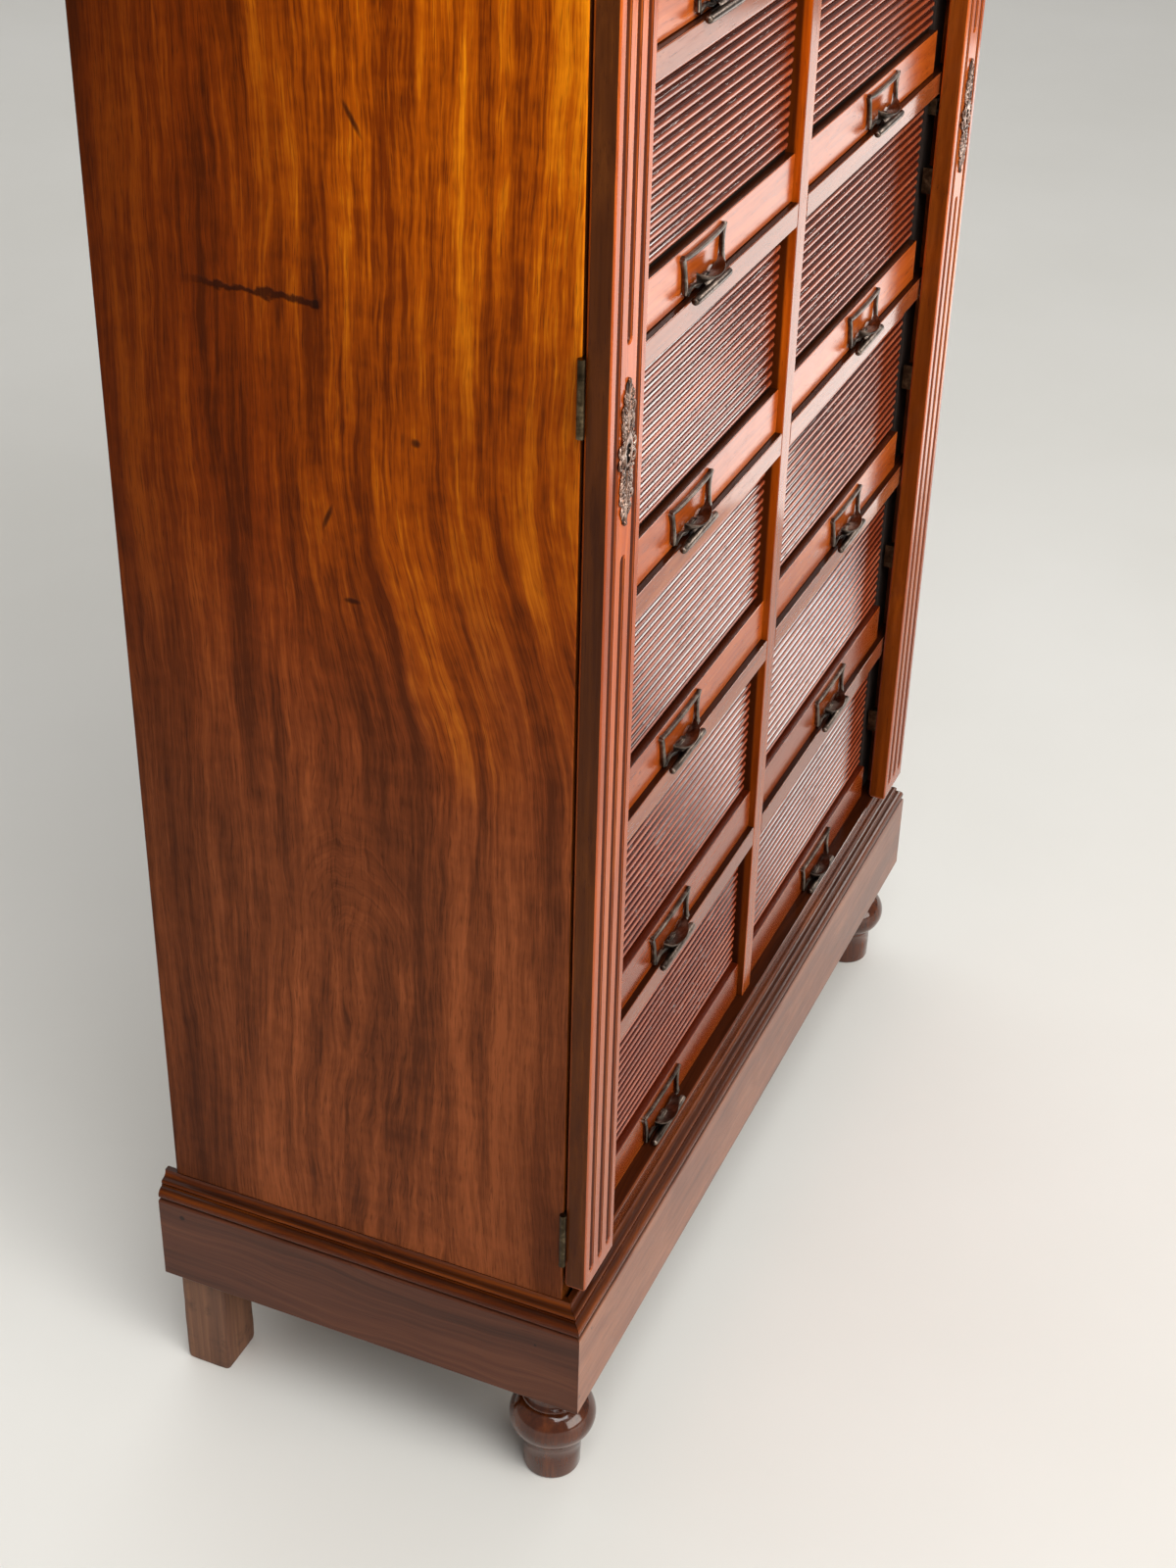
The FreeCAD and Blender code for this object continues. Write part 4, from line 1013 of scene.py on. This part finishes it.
# Near-black canvas: partly painted shade in the gaps between and below the slats.
canvas = tambour_canvas_finish()
bronze = cast_metal("label_bronze", (48, 40, 35), (88, 76, 68), (140, 126, 115), 0.30)
cast_brass = cast_metal("escutcheon_metal", (56, 36, 28), (126, 96, 82), (208, 184, 170), 0.24)
aged_brass = cast_metal("aged_brass", (36, 29, 21), (66, 55, 40), (112, 98, 76), 0.34)
steel = cast_metal("lock_steel", (70, 68, 66), (112, 110, 106), (150, 148, 144), 0.34)
plate_dark = cast_metal("key_plate_ground", (40, 24, 17), (66, 42, 30), (100, 70, 54), 0.5)
# Near-black throat: painted shade of the keyhole's depth.
throat_shade = cast_metal("keyhole_throat", (12, 10, 9), (20, 16, 14), (30, 24, 20), 0.6)


# Points closer than this become one, and a face whose normal lies this far along an axis is a flank
MERGE = 1e-6
FLANK = 0.9


def piece(name, shape, material, body, nodes=(), crease=38, even=True, flanks=None):
    """Puts a shape into the scene: doubled points merged, faces turned outwards, edges sharper than
    the crease angle kept, and broad faces kept flat. Faces that look along one axis can have a finish
    of their own."""
    points, faces = shape
    mesh = bpy.data.meshes.new(name)
    mesh.from_pydata(points.tolist(), [], faces)
    work = bmesh.new()
    work.from_mesh(mesh)
    bmesh.ops.remove_doubles(work, verts=work.verts, dist=MERGE)
    bmesh.ops.recalc_face_normals(work, faces=work.faces)
    work.to_mesh(mesh)
    work.free()
    mesh.shade_smooth()
    mesh.set_sharp_from_angle(angle=math.radians(crease))
    mesh.materials.append(material)
    if flanks:
        second, axis = flanks
        mesh.materials.append(second)
        normal = np.empty(3 * len(mesh.polygons))
        mesh.polygons.foreach_get("normal", normal)
        mesh.polygons.foreach_set("material_index", (np.abs(normal[axis::3]) > FLANK).astype(int))
    made = bpy.data.objects.new(name, mesh)
    bpy.context.collection.objects.link(made)
    if even:
        made.modifiers.new("even_faces", "WEIGHTED_NORMAL").keep_sharp = True
    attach(made, body)
    if nodes:
        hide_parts(*nodes)


# The case

side_panel = board((SIDE_INNER + 0.05 * MM, PANEL_LOW[1], PANEL_LOW[2]), PANEL_HIGH, 1.3 * MM)
piece("side_panel_boards", both_sides(side_panel), side_wood, "case", ["side_panels"],
      flanks=(flank_shade_wood, 1))
piece("nosed_top_board", nosed_top(), rail_wood, "case", ["top_board"])
front_cornice, side_cornice = mitred_lengths(moulding_profile(CORNICE_TOP, -1))
piece("cornice_front", front_cornice, moulding_wood, "case", ["cornice_moulding"],
      crease=30, even=False)
piece("cornice_sides", side_cornice, moulding_end_wood, "case", crease=30, even=False)
front_mould, side_mould = mitred_lengths(moulding_profile(MOULD_FOOT, 1))
piece("plinth_moulding_front", front_mould, moulding_wood, "case", ["plinth_moulding"],
      crease=30, even=False)
piece("plinth_moulding_sides", side_mould, moulding_end_wood, "case", crease=30, even=False)
front_plinth, side_plinth = mitred_lengths(plinth_profile())
plinth_back = board((PLINTH_BOARD - PLINTH_HIGH[0], PLINTH_HIGH[1] - PLINTH_BOARD, PLINTH_LOW[2]),
                    (PLINTH_HIGH[0] - PLINTH_BOARD, PLINTH_HIGH[1], PLINTH_HIGH[2]), 1.2 * MM)
piece("plinth_front_board", front_plinth, plinth_wood, "case", ["plinth_frame"])
piece("plinth_side_boards", side_plinth, plinth_end_wood, "case")
piece("plinth_back_and_blocks", together([plinth_back, corner_blocks()]), carcase_wood, "case")
piece("sill_board", board(SILL_LOW, SILL_HIGH, 2.2 * MM, 4), sill_wood, "case", ["bottom_board"],
      flanks=(rail_top_shade_wood, 2))
piece("divider_board", board(DIVIDER_LOW, DIVIDER_HIGH, 1.0 * MM), upright_wood, "case",
      ["centre_divider"], flanks=(inner_wood, 0))
piece("frame_rails", frame_rails(), rail_wood, "case", ["drawer_rails"],
      flanks=(rail_top_shade_wood, 2))
piece("back_planks", back_planks(), back_wood, "case", ["back_boards"])
piece("turned_front_feet", turned_foot(), foot_wood, "case", ["front_feet"],
      crease=50, even=False)
piece("worn_rear_feet", worn_block(), block_wood, "case", ["rear_feet"],
      crease=50, even=False)

# The lock stiles and the drawers

for side in SIDES:
    stile = f"{side}_stile"
    piece(f"{side}_fluted_stile", fluted_stile(side), stile_wood, stile,
          [f"{side}_lock_stile"], crease=32, flanks=(flank_shade_wood if side == "left" else far_flank_shade_wood, 0))
    piece(f"{side}_key_plate", foliate_escutcheon(side), cast_brass, stile,
          [f"{side}_escutcheon"], crease=60, even=False)
    piece(f"{side}_key_plate_ground", key_plate_ground(side), plate_dark, stile,
          crease=40, even=False)
    piece(f"{side}_keyhole_throat", keyhole_throat(side), throat_shade, stile, crease=40, even=False)
    for row in ROWS:
        drawer = f"{side}_drawer_{row}"
        piece(f"tambour_{side}_{row}", tambour_slats(side, row), slat_wood, drawer,
              [f"tambour_drawer_{side}_{row}"], crease=50, even=False)
        piece(f"canvas_{side}_{row}", tambour_canvas(side, row), canvas, drawer)
        piece(f"drawer_rail_{side}_{row}", drawer_rail(side, row), drawer_rail_wood, drawer)
        piece(f"drawer_tray_{side}_{row}", drawer_tray(side, row), carcase_depth_wood, drawer)
        piece(f"label_holder_{side}_{row}", label_holder(side, row), bronze, drawer,
              [f"label_pull_{side}_{row}"], crease=45, even=False)

# CAD nodes that keep their shape

KEPT = {"hinge_case_leaves": aged_brass, "hinge_pins": aged_brass, "strike_plates": aged_brass,
        "drawer_runners": carcase_depth_wood, "guide_posts": post_shade_wood}
for side in SIDES:
    KEPT[f"{side}_stile_hinge_leaves"] = aged_brass
    KEPT[f"{side}_lock_case"] = aged_brass
    KEPT[f"{side}_lock_bolt"] = steel
    KEPT[f"{side}_lock_lugs"] = aged_brass
for name, material in KEPT.items():
    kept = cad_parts[name]
    kept.data.materials.clear()
    kept.data.materials.append(material)

# Floor, light and camera

FLOOR_REACH = 14.0
floor_corners = FLOOR_REACH * np.array([(-1, -1, 0), (1, -1, 0), (1, 1, 0), (-1, 1, 0)])
floor_mesh = bpy.data.meshes.new("pale_floor")
floor_mesh.from_pydata(floor_corners.tolist(), [], [(0, 1, 2, 3)])
floor_mesh.materials.append(pale_floor_finish())
pale_floor = bpy.data.objects.new("pale_floor", floor_mesh)
bpy.context.collection.objects.link(pale_floor)

world = bpy.data.worlds.new("studio")
world.use_nodes = True
background = world.node_tree.nodes["Background"].inputs
background["Color"].default_value = (1.0, 0.97, 0.94, 1.0)
background["Strength"].default_value = 0.28
bpy.context.scene.world = world


def soft_light(name, place, aim, size, power, colour=(1.0, 1.0, 1.0), roll=0.0):
    """Rectangular lamp at a place, turned towards a point and rolled about that line."""
    lamp = bpy.data.lights.new(name, "AREA")
    lamp.shape = "RECTANGLE"
    lamp.size, lamp.size_y = size
    lamp.energy = power
    lamp.color = colour
    holder = bpy.data.objects.new(name, lamp)
    bpy.context.collection.objects.link(holder)
    heading = np.array(aim) - np.array(place)
    length = np.linalg.norm(heading)
    holder.location = place
    tilt = math.acos(-heading[2] / length)
    facing = Euler((tilt, 0.0, math.atan2(heading[1], heading[0]) - math.pi / 2))
    holder.rotation_euler = (facing.to_matrix() @ Matrix.Rotation(math.radians(roll), 3, "Z")).to_euler()
    return holder


soft_light("ceiling", (2.4, 1.6, 5.5), (2.4, 1.6, 0.0), (6.0, 6.0), power=135.0)
soft_light("near_window", (-1.6, -1.8, 3.4), (-0.5, -0.4, 0.0), (2.4, 2.4), power=104.0)
soft_light("front_window", (-0.9, -4.2, 1.5), (0.0, 0.0, 0.7), (3.0, 2.0), power=95.0,
           colour=(1.0, 0.95, 0.88))

# A far strip and a low card show only as reflections in the polish
strip = soft_light("right_strip", (9.92, -5.06, 5.12), (-0.1, -0.155, 0.7), (4.4, 1.45), power=250.0,
                   colour=(1.0, 0.95, 0.90), roll=45.0)
strip.visible_diffuse = False
low_card = soft_light("low_card", (2.45, -1.30, 0.03), (2.45, -1.2999, 3.0), (2.4, 1.7), power=26.0,
                      colour=(1.0, 0.96, 0.92))
low_card.visible_diffuse = False
low_card.visible_camera = False

# The view fitted to the photograph's straight edges
VIEW_PLACE = (-1.58104, -0.66738, 1.49394)
VIEW_TURN = (57.1266, -1.24513, -66.53332)
VIEW_LENS = 54.66531
lens = bpy.data.cameras.new("photo_view")
lens.lens = VIEW_LENS
lens.sensor_width = 36.0
camera = bpy.data.objects.new("photo_view", lens)
camera.location = VIEW_PLACE
camera.rotation_euler = [math.radians(angle) for angle in VIEW_TURN]
bpy.context.collection.objects.link(camera)
bpy.context.scene.camera = camera
bpy.context.scene.view_settings.view_transform = "Standard"
